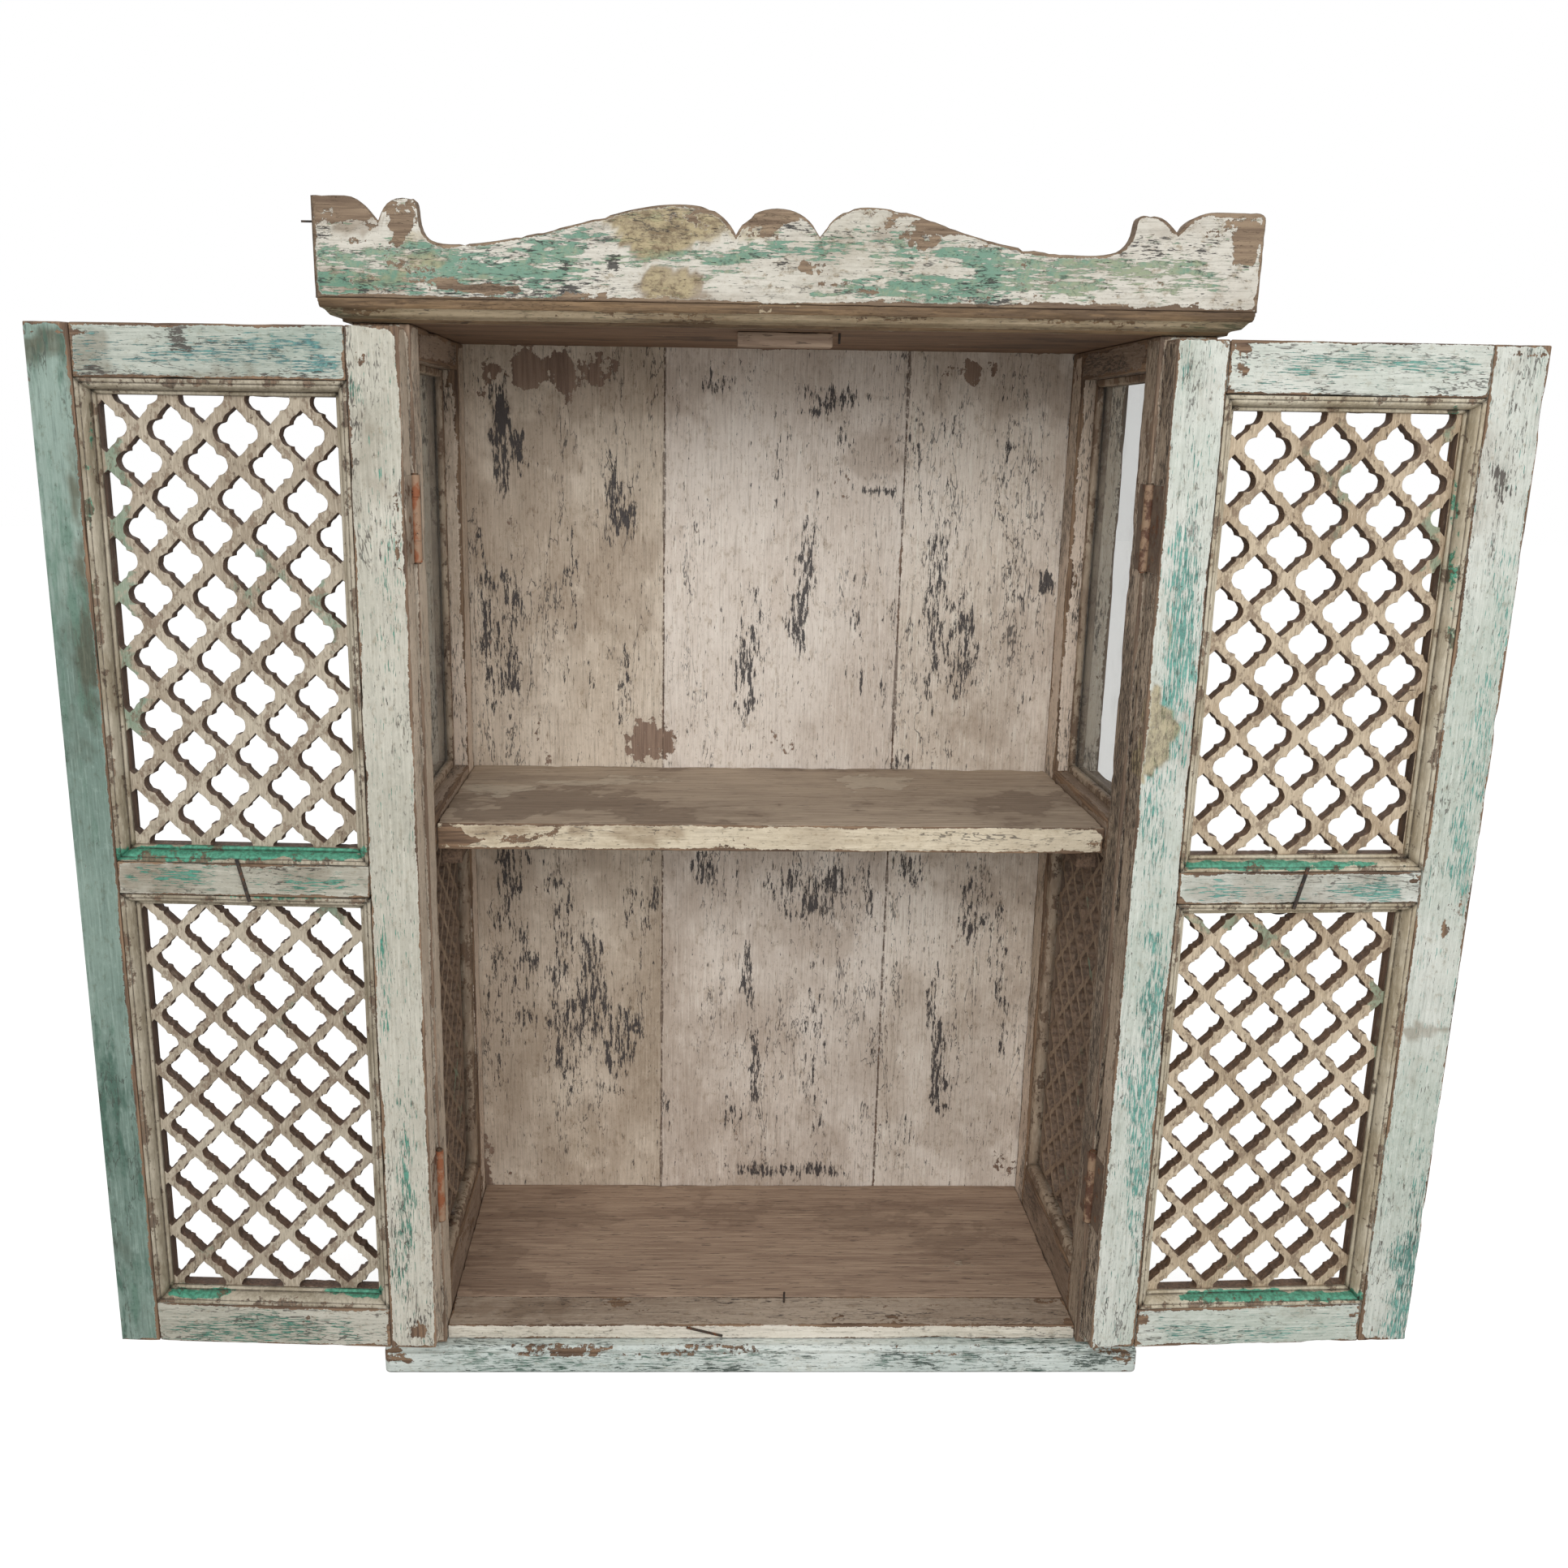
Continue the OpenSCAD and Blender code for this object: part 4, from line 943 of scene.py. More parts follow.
def carved_paint(name, face, shade, wall, across=1):
    """Thin worn paint on a lattice's broad faces, whose axis is across, and brown wood on its cells' cut walls."""
    s = Shader(name)
    wood, fibres = wood_layer(s, darker(wall, 0.66), wall)
    brush = s.noise(0.0010, 8, 3, 0.65, 3.9)
    cloud = s.noise(0.05, 1.5, 4, 0.6, 7.7)
    patch = s.noise(0.009, 1.6, 7, 0.7, 1.2)
    fine = s.noise(0.0022, 1.6, 4, 0.7, 4.8)
    coat = brushed(s, cloud, brush, face, shade, (0.52, 0.68, 0.55, 30), (0.48, 0.34, 0.5, 0.74))
    green = (cloud + patch * 0.5 + s.mark("teal") * 0.3).rise(0.88, 0.95)
    coat = s.mix(green * 0.5, coat, (96, 150, 128))
    mottle = (patch * 0.6 + fine * 0.4).rise(0.51, 0.57)
    coat = s.mix(mottle * 0.6, coat, (124, 101, 82))
    flecks = (fine * 0.75 + cloud * 0.25).rise(0.60, 0.65)
    coat = s.mix(flecks * 0.8, coat, (72, 56, 46))
    normal = s.add("ShaderNodeTexCoord", {}, "Normal")
    covered = (abs(s.part(normal, across)) + (fine - 0.5) * 1.2).rise(0.62, 0.80)
    base = s.mix(covered.most(patch.rise(0.60, 0.66) * 0.5), wood, coat)
    return s.finish(base, fine * 0.2 + 0.58,
                    [(brush, 0.0005), (mottle, -0.0003), (fibres, 0.0006), (patch, 0.0008)])


def moulding_paint(name, face, shade, worn_level=0.56, teal_level=0.62):
    """Tan paint on a moulding, darker in its grooves, with wear along its lip."""
    s = Shader(name)
    wood = wood_layer(s, (74, 56, 44), (132, 106, 84))[0]
    brush = s.noise(0.0018, 5, 4, 0.7, 2.9)
    cloud = s.noise(0.04, 1, 4, shift=6.1)
    patch = s.noise(0.010, 1.6, 7, 0.7, 11.3)
    fine = s.noise(0.0026, 1, 5, 0.72, 4.4)
    coat = brushed(s, cloud, brush, face, shade, (0.5, 0.68, 0.5, 26), (0.5, 0.34, 0.4, 0.78))
    teal = (patch * 0.8 + s.mark("teal") * 0.34 + fine * 0.2).rise(teal_level, teal_level + 0.04)
    coat = s.mix(teal * 0.9, coat, s.mix(fine.rise(0.4, 0.6), (74, 168, 138), (38, 122, 98)))
    worn = patch * 0.7 + fine * 0.3 + s.mark("edge") * 0.05
    chipped = worn.rise(worn_level, worn_level + 0.03)
    base = s.mix(chipped * 0.85, coat, wood)
    # Dark brown laid into the grooves and along the outer line.
    base = s.mix(s.mark("hollow") * fine.rise(0.30, 0.48) * 0.9, base, (62, 50, 42))
    return s.finish(base, fine * 0.2 + 0.55, [(brush, 0.0005), (chipped, -0.0004), (fine, 0.0006)])


def old_iron(name, dark, pale, rust=0.4, paint=0.0, paint_colour=(190, 200, 185)):
    """Dark hand-made iron with rust, and paint left on it where it was painted over."""
    s = Shader(name)
    cloud = s.noise(0.008, 1, 5, 0.7)
    fine = s.noise(0.0015, 1, 4, 0.7, 3.0)
    base = s.mix(cloud.rise(0.35, 0.65), dark, pale)
    rusty = (cloud * 0.5 + fine * 0.5).rise(0.62 - 0.2 * rust, 0.68 - 0.2 * rust)
    base = s.mix(rusty * 0.8, base, (128, 74, 40))
    left = s.noise(0.005, 1, 5, 0.7, 7.0) * 0.8 + fine * 0.2
    left = left.rise(0.80 - 0.45 * paint, 0.84 - 0.45 * paint)
    base = s.mix(left, base, paint_colour)
    return s.finish(base, fine * 0.3 + 0.45, [(cloud, 0.0006), (fine, 0.0003), (left, 0.0002)], 0.35)


def painted_hinge(name, leaf, knuckle, rust):
    """Hinges whose leaves were painted over with the woodwork; the knuckles are rusty and worn."""
    s = Shader(name)
    across = abs(s.part(s.place, 0)) - PIN_PLACE[0]
    inwards = s.part(s.place, 1) - PIN_PLACE[1]
    away = (across * across + inwards * inwards).maths("POWER", 0.5)
    fine = s.noise(0.002, 1, 5, 0.7, 3.0)
    patch = s.noise(0.008, 1.5, 6, 0.7, 5.0)
    flat = s.mix(patch.rise(0.42, 0.58), leaf, darker(leaf, 0.8))
    flat = s.mix((patch + fine * 0.4).rise(0.76, 0.80), flat, (96, 62, 42))
    round_part = s.mix(patch.rise(0.44, 0.56), knuckle, rust)
    round_part = s.mix(fine.rise(0.60, 0.66), round_part, (58, 42, 34))
    base = s.mix(away.rise(0.0050, 0.0058), round_part, flat)
    return s.finish(base, fine * 0.3 + 0.5, [(patch, 0.0005), (fine, 0.0004)])


def old_glass():
    """Thin clear glass, slightly wavy, with a little dust."""
    s = Shader("old_glass")
    veil = s.noise(0.02, 2, 6, 0.7).rise(0.5, 0.8) * 0.15 + 0.16
    clear = s.add("ShaderNodeBsdfTransparent", {"Color": (0.86, 0.865, 0.86, 1)})
    bump = s.add("ShaderNodeBump", {"Height": s.noise(0.05, 2, 1), "Distance": 0.002, "Strength": 0.6})
    s.feed(s.surface, {"Base Color": colour(194, 194, 190), "Roughness": 0.12, "Normal": bump})
    blend = s.add("ShaderNodeMixShader", {0: veil, 1: clear, 2: Value(s, s.surface.outputs[0])})
    s.feed(s.nodes["Material Output"], {"Surface": blend})
    return s.material


WHITE = dict(top=(220, 222, 213), shade=(196, 204, 192), edge=0.80, under=(96, 172, 158),
             under_dark=(48, 120, 110))
BOARD = dict(dark=(126, 103, 88), pale=(158, 134, 116), pore=(44, 40, 44), under_dark=(150, 128, 108), edge=0.88,
             pore_clouds=0.57, stains=0.38, dashes=(0.0017, 6, 0.15), joints=(-0.1095, 0.1475))
BEHIND_GLASS = dict(pores=0.58, pore_clouds=0.5)

cream_upright = old_paint("cream_paint_upright", 2, (210, 206, 192), (190, 187, 172), edge=0.80)
cream_across = old_paint("cream_paint_across", 0, (202, 198, 184), (182, 179, 164), edge=0.78, chips=0.66)
white_upright = old_paint("white_paint_upright", 2, **WHITE, under_clouds=0.62)
white_across = old_paint("white_paint_across", 0, **WHITE)
green_upright = old_paint(
    "grey_green_paint", 2, (148, 168, 157), (116, 138, 127), (104, 134, 118), (66, 98, 84), pore=(78, 88, 78),
    edge=0.66, under_clouds=0.56, pores=0.66, pore_clouds=0.66, stains=0.8, islands=(0.006, 5, 8), soft=0.09)
pale_green_across = old_paint(
    "pale_green_paint", 0, (197, 200, 189), (164, 175, 163), (96, 156, 150), (48, 104, 112), edge=0.74,
    pores=0.61, pore_clouds=0.60)
board_paints = {
    "left": old_paint("left_board_paint", 2, (222, 208, 190), (200, 184, 164), (184, 164, 142), **BOARD),
    "middle": old_paint("middle_board_paint", 2, (236, 225, 213), (220, 206, 192), (204, 186, 168), **BOARD),
    "right": old_paint("right_board_paint", 2, (240, 229, 216), (222, 208, 192), (206, 188, 170), **BOARD),
}
inner_upright = old_paint(
    "inner_frame_paint", 2, (226, 208, 190), (200, 182, 162), (176, 156, 136), (122, 102, 84), edge=0.66,
    chips=0.64, **BEHIND_GLASS)
# A lighter copy of the rear posts' paint for their front faces outside the glass: painted light, standing in for
# the daylight that falls there.
lit_outer_upright = old_paint(
    "outer_frame_lit_paint", 2, (250, 238, 220), (232, 216, 194), (206, 194, 172), (160, 142, 120), edge=0.74,
    chips=0.66, **BEHIND_GLASS)
inner_deep = old_paint(
    "inner_rail_paint", 1, (166, 146, 128), (136, 116, 99), (130, 110, 92), (122, 102, 84), edge=0.66,
    chips=0.62, **BEHIND_GLASS)
worn_post = old_paint(
    "worn_post_paint", 2, (228, 212, 192), (204, 188, 168), (172, 152, 130), (130, 110, 92), (122, 100, 82),
    (176, 150, 128), (84, 70, 60), 0.70, 0.62, pores=0.59, pore_clouds=0.50)
dark_post = old_paint(
    "dark_post_paint", 2, (200, 181, 160), (160, 142, 122), (140, 120, 100), (96, 78, 65), (104, 85, 71),
    (158, 134, 112), (56, 46, 40), 0.66, 0.60, pores=0.565, pore_clouds=0.42, stains=0.6)
front_edge_paint = old_paint(
    "front_edge_paint", 0, (234, 226, 212), (214, 206, 190), (180, 170, 150), (120, 130, 116), edge=0.84)
shelf_edge_paint = old_paint(
    "shelf_edge_paint", 0, (224, 211, 187), (206, 191, 165), (194, 176, 150), (156, 132, 106), edge=0.74,
    chips=0.62)
plinth_paint = old_paint(
    "plinth_paint", 0, (224, 230, 224), (202, 212, 206), (104, 136, 120), (48, 82, 70), pore=(62, 78, 70),
    edge=1.12, chips=0.68, under_clouds=0.52, pores=0.575, pore_clouds=0.50)
crest_paint = old_paint(
    "crest_paint", 0, (216, 211, 199), (196, 190, 175), (146, 158, 126), (92, 142, 120), (110, 90, 72),
    (156, 134, 110), (50, 46, 44), 0.64, 0.63, under_clouds=0.52, pores=0.585, pore_clouds=0.52, stains=0.7,
    islands=(0.0014, 7, 8), grime=0.9)
cornice_paint = old_paint(
    "cornice_paint", 0, (182, 164, 136), (150, 130, 102), (128, 130, 96), (92, 92, 66), (96, 76, 56),
    (140, 114, 84), edge=0.7, chips=0.6, under_clouds=0.56)
rail_paint = old_paint(
    "front_rail_top_paint", 0, (186, 170, 152), (160, 142, 124), (176, 158, 136), (130, 110, 90), edge=0.7,
    chips=0.62, pores=0.58)
brown_across = bare_wood("brown_wood_across", 0, (94, 71, 53), (148, 117, 92))
brown_deep = bare_wood("brown_wood_front_to_back", 1, (80, 62, 49), (124, 100, 80))
shelf_wood = bare_wood("shelf_wood", 0, (158, 140, 121), (192, 174, 153), (104, 84, 68), (200, 186, 166), 0.63)
floor_wood = bare_wood("floor_wood", 0, (146, 122, 104), (182, 158, 136), (96, 74, 58), (196, 180, 158),
                       stains=0.3)
lattice_paints = {
    LEFT: carved_paint("lattice_paint_left", (194, 182, 162), (164, 149, 129), (118, 92, 74)),
    RIGHT: carved_paint("lattice_paint_right", (206, 188, 162), (178, 157, 130), (128, 100, 78)),
}
side_lattice_paint = carved_paint("side_lattice_paint", (158, 136, 114), (134, 112, 92), (138, 114, 94), 0)
moulding_paints = {
    LEFT: moulding_paint("left_moulding_paint", (188, 178, 158), (154, 142, 120)),
    RIGHT: moulding_paint("right_moulding_paint", (206, 196, 174), (178, 164, 138)),
}
inner_moulding = moulding_paint("inner_moulding_paint", (180, 162, 140), (152, 132, 112), 0.53, 0.9)
dark_iron = old_iron("dark_iron", (44, 40, 38), (84, 72, 62))
screw_iron = old_iron("screw_iron", (92, 76, 62), (132, 112, 92), 0.6, 0.5, (176, 160, 138))
left_hinge = painted_hinge("left_hinge_paint", (176, 160, 142), (172, 140, 114), (158, 96, 62))
right_hinge = painted_hinge("right_hinge_paint", (116, 98, 83), (160, 132, 106), (96, 64, 47))
glass = old_glass()


# Doors

MOULDING_WIDTH = 0.013
MOULDING_DEPTH = 0.0145
LATTICE_FACE = 0.0135
LATTICE_THICK = 0.012
LATTICE_BORDER = 0.019
LATTICE_ROWS = 7
LAP = 0.006
# Cell width, height and lobe radius, pitch, phase, drop and skew of the lower and upper panel
PANELS = {
    LEFT: (((0.0412, 0.0462, 0.0072), 0.0568, 0.0023, -0.0010, 0.011),
           ((0.0386, 0.0430, 0.0086), 0.0562, 0.0030, 0.0014, 0.030)),
    RIGHT: (((0.0404, 0.0450, 0.0072), 0.0574, 0.0303, -0.0006, -0.020),
            ((0.0412, 0.0446, 0.0090), 0.0574, 0.0064, 0.0026, -0.005)),
}
LEAF_DEPTH = 0.00125
LEAF_REACH = 0.0222
LEAF_NEAR = 0.002
REBATES = {LEFT: (0.0066, 0.014), RIGHT: (0.006, 0.0146)}
DOOR_PAINT = {LEFT: (cream_upright, cream_across), RIGHT: (white_upright, white_across)}
EDGE_PAINT = {LEFT: worn_post, RIGHT: dark_post}
FACING = 0.6


def put_boards(node, slot, paint, grain, body="carcass", place=STILL, **worn):
    """The worn boards that stand for a CAD node."""
    piece = make_boards(f"{node}_worn", solids(node, place), grain, place, **worn)
    return finish_piece(piece, body, slot, paint, node)


def repaint(piece, paint, chosen):
    """Gives the chosen faces a paint of their own."""
    piece.data.materials.append(paint)
    for face in piece.data.polygons:
        if chosen(face):
            face.material_index = len(piece.data.materials) - 1


def looks_sideways(face):
    return abs(face.normal.x) > FACING


def looks_forward(face):
    return face.normal.y < -FACING


def leaf_beds(node, place, face, sink):
    """Cuts and a shape function that sink the beds of a node's hinge leaves into a board's side at x = face."""
    boxes = solids(node, place)
    heights = sorted({(round(low.z, 4), round(high.z, 4)) for low, high in boxes if high.z - low.z > 0.02})

    def shape(vertex):
        level = any(low - NEAR < vertex.z < high + NEAR for low, high in heights)
        if level and abs(vertex.x - face) < LEAF_NEAR and vertex.y < LEAF_REACH:
            return Vector((face + sink, vertex.y, vertex.z))
        return vertex

    return {1: [LEAF_REACH], 2: [z for pair in heights for z in pair]}, shape


def make_door_frame(side):
    """The two stiles and three rails of a door."""
    word, place = SIDE_NAMES[side], DOORS[side]
    body = f"{word}_door"
    upright, across = DOOR_PAINT[side]
    cuts, bed = leaf_beds(f"hinge_door_leaves_{word}", place, 0.0, -side * LEAF_DEPTH)
    piece = put_boards(f"{word}_hinge_stile", "cream_paint", upright, 2, body, place, seed=20 + side, cuts=cuts,
                       shape=bed)
    repaint(piece, EDGE_PAINT[side], looks_sideways)
    low, high = span(f"{word}_free_stile", place)
    step_x, step_y = REBATES[side]
    edge = max(abs(low.x), abs(high.x)) - step_x

    def rebate(vertex):
        """The left door is cut back behind its step, and the right door in front of it."""
        if (vertex.y > step_y) == (side == LEFT) and abs(vertex.x) > edge:
            return Vector((math.copysign(edge, vertex.x), vertex.y, vertex.z))
        return vertex

    cuts = {0: [math.copysign(edge, low.x)], 1: [step_y]}
    slot, paint = ("green_paint", green_upright) if side == LEFT else ("cream_paint", upright)
    put_boards(f"{word}_free_stile", slot, paint, 2, body, place, seed=40 + side, cuts=cuts, shape=rebate)
    top = pale_green_across if side == LEFT else across
    for number, (rail, paint) in enumerate((("bottom_rail", across), ("mid_rail", across), ("top_rail", top))):
        put_boards(f"{word}_{rail}", "cream_paint", paint, 0, body, place, seed=60 + 7 * number + side)


def make_panels(side):
    """Both pierced panels of a door and the mouldings round them."""
    word, place, body = SIDE_NAMES[side], DOORS[side], f"{SIDE_NAMES[side]}_door"
    panels = sorted(solids(f"{word}_lattices", place), key=lambda box: box[0].z)
    profile = moulding_profile(MOULDING_WIDTH, MOULDING_DEPTH)
    sheets, frames = [], []
    for number, (low, high) in enumerate(panels):
        width, height = high.x - low.x, high.z - low.z
        near = min(abs(low.x), abs(high.x))
        cell, pitch, phase, drop, skew = PANELS[side][number]
        holes = lattice_holes((width, height), LATTICE_BORDER, LATTICE_ROWS, pitch, cell, phase,
                              11 * number + 5 * side, drop, skew)
        outline, *holes = [[(-side * (near + x), low.z + z) for x, z in ring]
                           for ring in (rectangle(width, height), *holes)]
        sheets.append((outline, holes))
        corners = (near + LAP, low.z + LAP), (near + width - LAP, high.z - LAP)
        frames.append(strip_frame(*corners, profile, lambda u, v, h: Vector((-side * u, LATTICE_FACE + h, v)),
                                  4 * number + side))
    mesh = carved_sheet(f"{word}_lattices_carved", sheets, LATTICE_THICK)
    mesh.transform(Matrix.Translation((0, LATTICE_FACE - LATTICE_THICK, 0)))
    piece = put_mesh(f"{word}_lattices_carved", mesh, place)
    finish_piece(piece, body, "tan_paint", lattice_paints[side], f"{word}_lattices")
    piece = make_mouldings(f"{word}_mouldings_run", frames, place)
    finish_piece(piece, body, "tan_paint", moulding_paints[side], f"{word}_mouldings")


# Carcass

OPENING = 0.640
POST = 0.050
BARE_STRIP = 0.009
SIDE_BORDER = 0.012
SIDE_ROWS = 11
SIDE_PITCH = 0.044
SIDE_CELL = (0.0308, 0.0329, 0.00575)
SIDE_MOULDING = 0.012
BEAD = 0.007
JOINT_OVERLAP = 0.0009
HOUSED = 0.0021
HOLE_SIDES = 12
HOLE_RADIUS = 0.003
HOLE_PLACE = 0.2
LEVEL_BOARDS = (
    ("floor_board", "bare_wood", floor_wood, 0, dict(seed=112)),
    ("shelf_cleats", "bare_wood", brown_deep, 1, dict(seed=116)),
    ("door_stop", "bare_wood", floor_wood, 0, dict(seed=120, step=0.005)),
    ("top_board", "bare_wood", brown_across, 0, dict(seed=122, step=0.012)),
    ("crest_blocks", "bare_wood", brown_across, 0, dict(seed=124, step=0.006)),
    ("plinth_frame", "bare_wood", brown_across, 0, dict(seed=130, step=0.012)),
)


def make_posts(side):
    """The front and rear post of one side and the rails between them."""
    word, inner = SIDE_NAMES[side], side * OPENING / 2
    cuts, bed = leaf_beds(f"hinge_door_leaves_{word}", STILL, inner, side * LEAF_DEPTH)
    cuts[0] = [inner + side * BARE_STRIP]
    piece = put_boards(f"front_post_{word}", "cream_paint", cream_upright, 2, seed=80 + side, cuts=cuts,
                       shape=bed)
    repaint(piece, EDGE_PAINT[side],
            lambda face: looks_sideways(face) or abs(face.center.x - inner) < BARE_STRIP)
    piece = put_boards(f"rear_post_{word}", "bare_wood", inner_upright, 2, seed=84 + side, step=0.012)
    pane = sum(abs(corner.x) for corner in span(f"glass_{word}")) / 2
    # The front faces outside the pane take the lighter copy of the paint: painted light.
    repaint(piece, lit_outer_upright, lambda face: abs(face.center.x) > pane and face.normal.y < -0.5)
    put_boards(f"side_rails_{word}", "bare_wood", inner_deep, 1, seed=88 + side, step=0.012)


def square_bead(size):
    """Section of a plain strip with a rounded inner corner."""
    rounded = [(0.62 + 0.36 * math.sin(a), 0.62 + 0.36 * math.cos(a)) for a in (0.0, 0.4, 0.8, 1.2, math.pi / 2)]
    return [(x * size, y * size) for x, y in [(0, 0), (0, 0.96), (0.05, 0.985), *rounded, (0.985, 0)]]


def put_side_strips(side, node, panel, width, seed):
    """Mitred strips round a side panel or pane: of this width inside and narrow beads outside."""
    low, high = span(panel)
    frames = []
    for turn, size, number in ((-side, width, seed), (side, BEAD, seed + 3)):
        face = high.x if turn > 0 else low.x
        frames.append(strip_frame((low.y, low.z), (high.y, high.z), square_bead(size),
                                  lambda u, v, h: Vector((face + turn * h, u, v)), number + side))
    finish_piece(make_mouldings(f"{node}_run", frames), "carcass", "bare_wood", inner_moulding, node)


def make_sides(side):
    """Lower lattice, its mouldings and the glazing beads of one side."""
    word = SIDE_NAMES[side]
    node = f"side_lattice_{word}"
    low, high = span(node)
    width, height = high.y - low.y, high.z - low.z
    holes = lattice_holes((width, height), SIDE_BORDER, SIDE_ROWS, SIDE_PITCH, SIDE_CELL, 0, 31 + side)
    mesh = carved_sheet(f"{node}_carved", [(rectangle(width, height), holes)], high.x - low.x)
    mesh.transform(Matrix.Translation((high.x, low.y, low.z)) @ Matrix.Rotation(math.radians(90), 4, "Z"))
    finish_piece(put_mesh(f"{node}_carved", mesh), "carcass", "tan_paint", side_lattice_paint, node)
    put_side_strips(side, f"side_mouldings_{word}", node, SIDE_MOULDING, 50)
    put_side_strips(side, f"glazing_beads_{word}", f"glass_{word}", BEAD, 56)


def make_back():
    """Three boards, which overlap at their joints and are let in above and below."""
    for number, part in enumerate(("left", "middle", "right")):
        node = f"back_board_{part}"
        low, high = span(node)
        low -= Vector((JOINT_OVERLAP * (part != "left"), 0, HOUSED))
        high += Vector((JOINT_OVERLAP * (part != "right"), 0, HOUSED))
        piece = make_boards(f"{node}_worn", [(low, high)], 2, radius=0.0018, step=0.008, seed=100 + number)
        finish_piece(piece, "carcass", "board_paint", board_paints[part], node)


def make_level_boards():
    shelf = put_boards("shelf", "tan_paint", shelf_wood, 0, radius=0.0022, chip=0.005, seed=110)
    repaint(shelf, shelf_edge_paint, looks_forward)
    rail = put_boards("front_rail", "cream_paint", rail_paint, 0, seed=114)
    repaint(rail, front_edge_paint, looks_forward)
    for *board, worn in LEVEL_BOARDS:
        put_boards(*board, **worn)


# Runs of a section: the plinth, the cornice and the crest

# The plinth's section, inwards from its face and up, clockwise from the foot of its back
PLINTH_SECTION = [
    (0.0485, 0.0), (0.0485, 0.027), (0.020, 0.027), (-0.0022, 0.0268), (-0.0040, 0.0258), (-0.0056, 0.0232),
    (-0.0066, 0.0226), (-0.0076, 0.0221), (-0.0098, 0.0224), (-0.0111, 0.0219), (-0.0115, 0.0206),
    (-0.0115, 0.012), (-0.0113, 0.003), (-0.0103, 0.0004), (0.010, 0.0),
]
PLINTH_CORNER = 0.0065
PLINTH_STEP = 0.006
PLINTH_ENDS = [0, 0.0008, 0.002, 0.004, PLINTH_CORNER]
# The cornice's section, out from the carcass and up
CORNICE_SECTION = [
    (0, 0), (0.0055, 0), (0.0062, 0.0024), (0.0078, 0.0034), (0.0110, 0.0040), (0.0138, 0.0046),
    (0.0153, 0.0063), (0.0170, 0.0085), (0.0190, 0.0098), (0.0206, 0.0104), (0.0212, 0.0124), (0.0214, 0.0142),
    (0.0218, 0.0149), (0.0219, 0.0172), (0.0212, 0.0179), (0, 0.018),
]
CORNICE_SIDE_STEPS = 40
CORNICE_FRONT_STEPS = 120
CREST_HEIGHT = 0.080
CREST_ROUNDING = 0.0022
CREST_DEPTHS = [0.013, 0.008, 0.004, 0.0018, 0.0005]
# The crest's top edge as Bezier curves from left to right, each from the end of the one before by way of two
# handles, in millimetres with z counted down from its highest point
CREST_START = (-394, 0)
CREST_CURVES = [
    ((-385, 0), (-375, 0), (-366, 0)),
    ((-352, 0), (-347, -13), (-339.5, -19)),
    ((-335, -7), (-330, -1), (-319, -1)),
    ((-316, -1), (-313, -1), (-310, -1.5)),
    ((-308, -2), (-307.4, -6), (-307, -14)),
    ((-306, -31), (-297, -36), (-281, -36.2)),
    ((-240, -36), (-190, -22), (-140, -9)),
    ((-115, -2), (-85, 0), (-68, -5)),
    ((-57, -9), (-50, -17), (-46, -25)),
    ((-40, -12), (-28, -4), (-12, -4)),
    ((4, -4), (16, -11), (23.5, -25.5)),
    ((31, -13), (42, -2), (62, -2)),
    ((95, -2), (115, -12), (144, -21)),
    ((180, -31), (210, -36), (247, -36.5)),
    ((270, -36.5), (284, -31), (286, -14)),
    ((286.5, -8), (287, -4.5), (291, -4.5)),
    ((295, -4.5), (299, -4.3), (303, -4.2)),
    ((309, -6), (315, -12), (321, -18)),
    ((328, -7), (338, -1), (352, -1)),
    ((362, -1), (374, -1), (385, -1)),
    ((390, -1), (393, -3), (394, -7)),
]


def run_faces(rings, size):
    """Faces of a closed run through rings of size points each, shut at both ends."""
    faces = []
    for start in range(0, (rings - 1) * size, size):
        for i in range(size):
            j = (i + 1) % size
            faces.append([start + i, start + j, start + size + j, start + size + i])
    return faces + [list(range(size)), [(rings - 1) * size + i for i in range(size)]]


def make_plinth():
    """The plinth's front board, with its small cove and bead and its rounded corners."""
    low, high = span("plinth_front")
    length = high.x - low.x
    count = round(length / PLINTH_STEP)
    inside = [PLINTH_CORNER + (length - 2 * PLINTH_CORNER) * i / count for i in range(1, count)]
    runs = PLINTH_ENDS + inside + [length - end for end in PLINTH_ENDS[::-1]]
    vertices, worn = [], []
    for run in runs:
        end = min(run, length - run)
        for y, z in PLINTH_SECTION:
            spot = Vector((run * 40, y * 150, z * 150))
            wear = 0.0002 + 0.0002 * noise.noise(spot)
            lowered = 0.0002 + 0.0002 * noise.noise(spot + Vector((5, 5, 5))) if z > 0.001 else 0
            if 0.02 < z < 0.0269 and y < 0:
                wear += max(0, noise.noise(spot * 2.2) - 0.15) * 0.003
            radius = PLINTH_CORNER if z < 0.0225 else 0.0032
            back = radius - math.sqrt(max(0, radius ** 2 - (radius - min(end, radius)) ** 2))
            vertices.append(Vector((low.x + run, y + (back + wear if y < 0.02 else 0), z - lowered)))
            worn.append(1.0 if y < 0.0 and (z > 0.019 or z < 0.002) else 0.0)
    piece = make_object("plinth_front_run", vertices, run_faces(len(runs), len(PLINTH_SECTION)), edge=worn)
    finish_piece(piece, "carcass", "cream_paint", plinth_paint, "plinth_front")


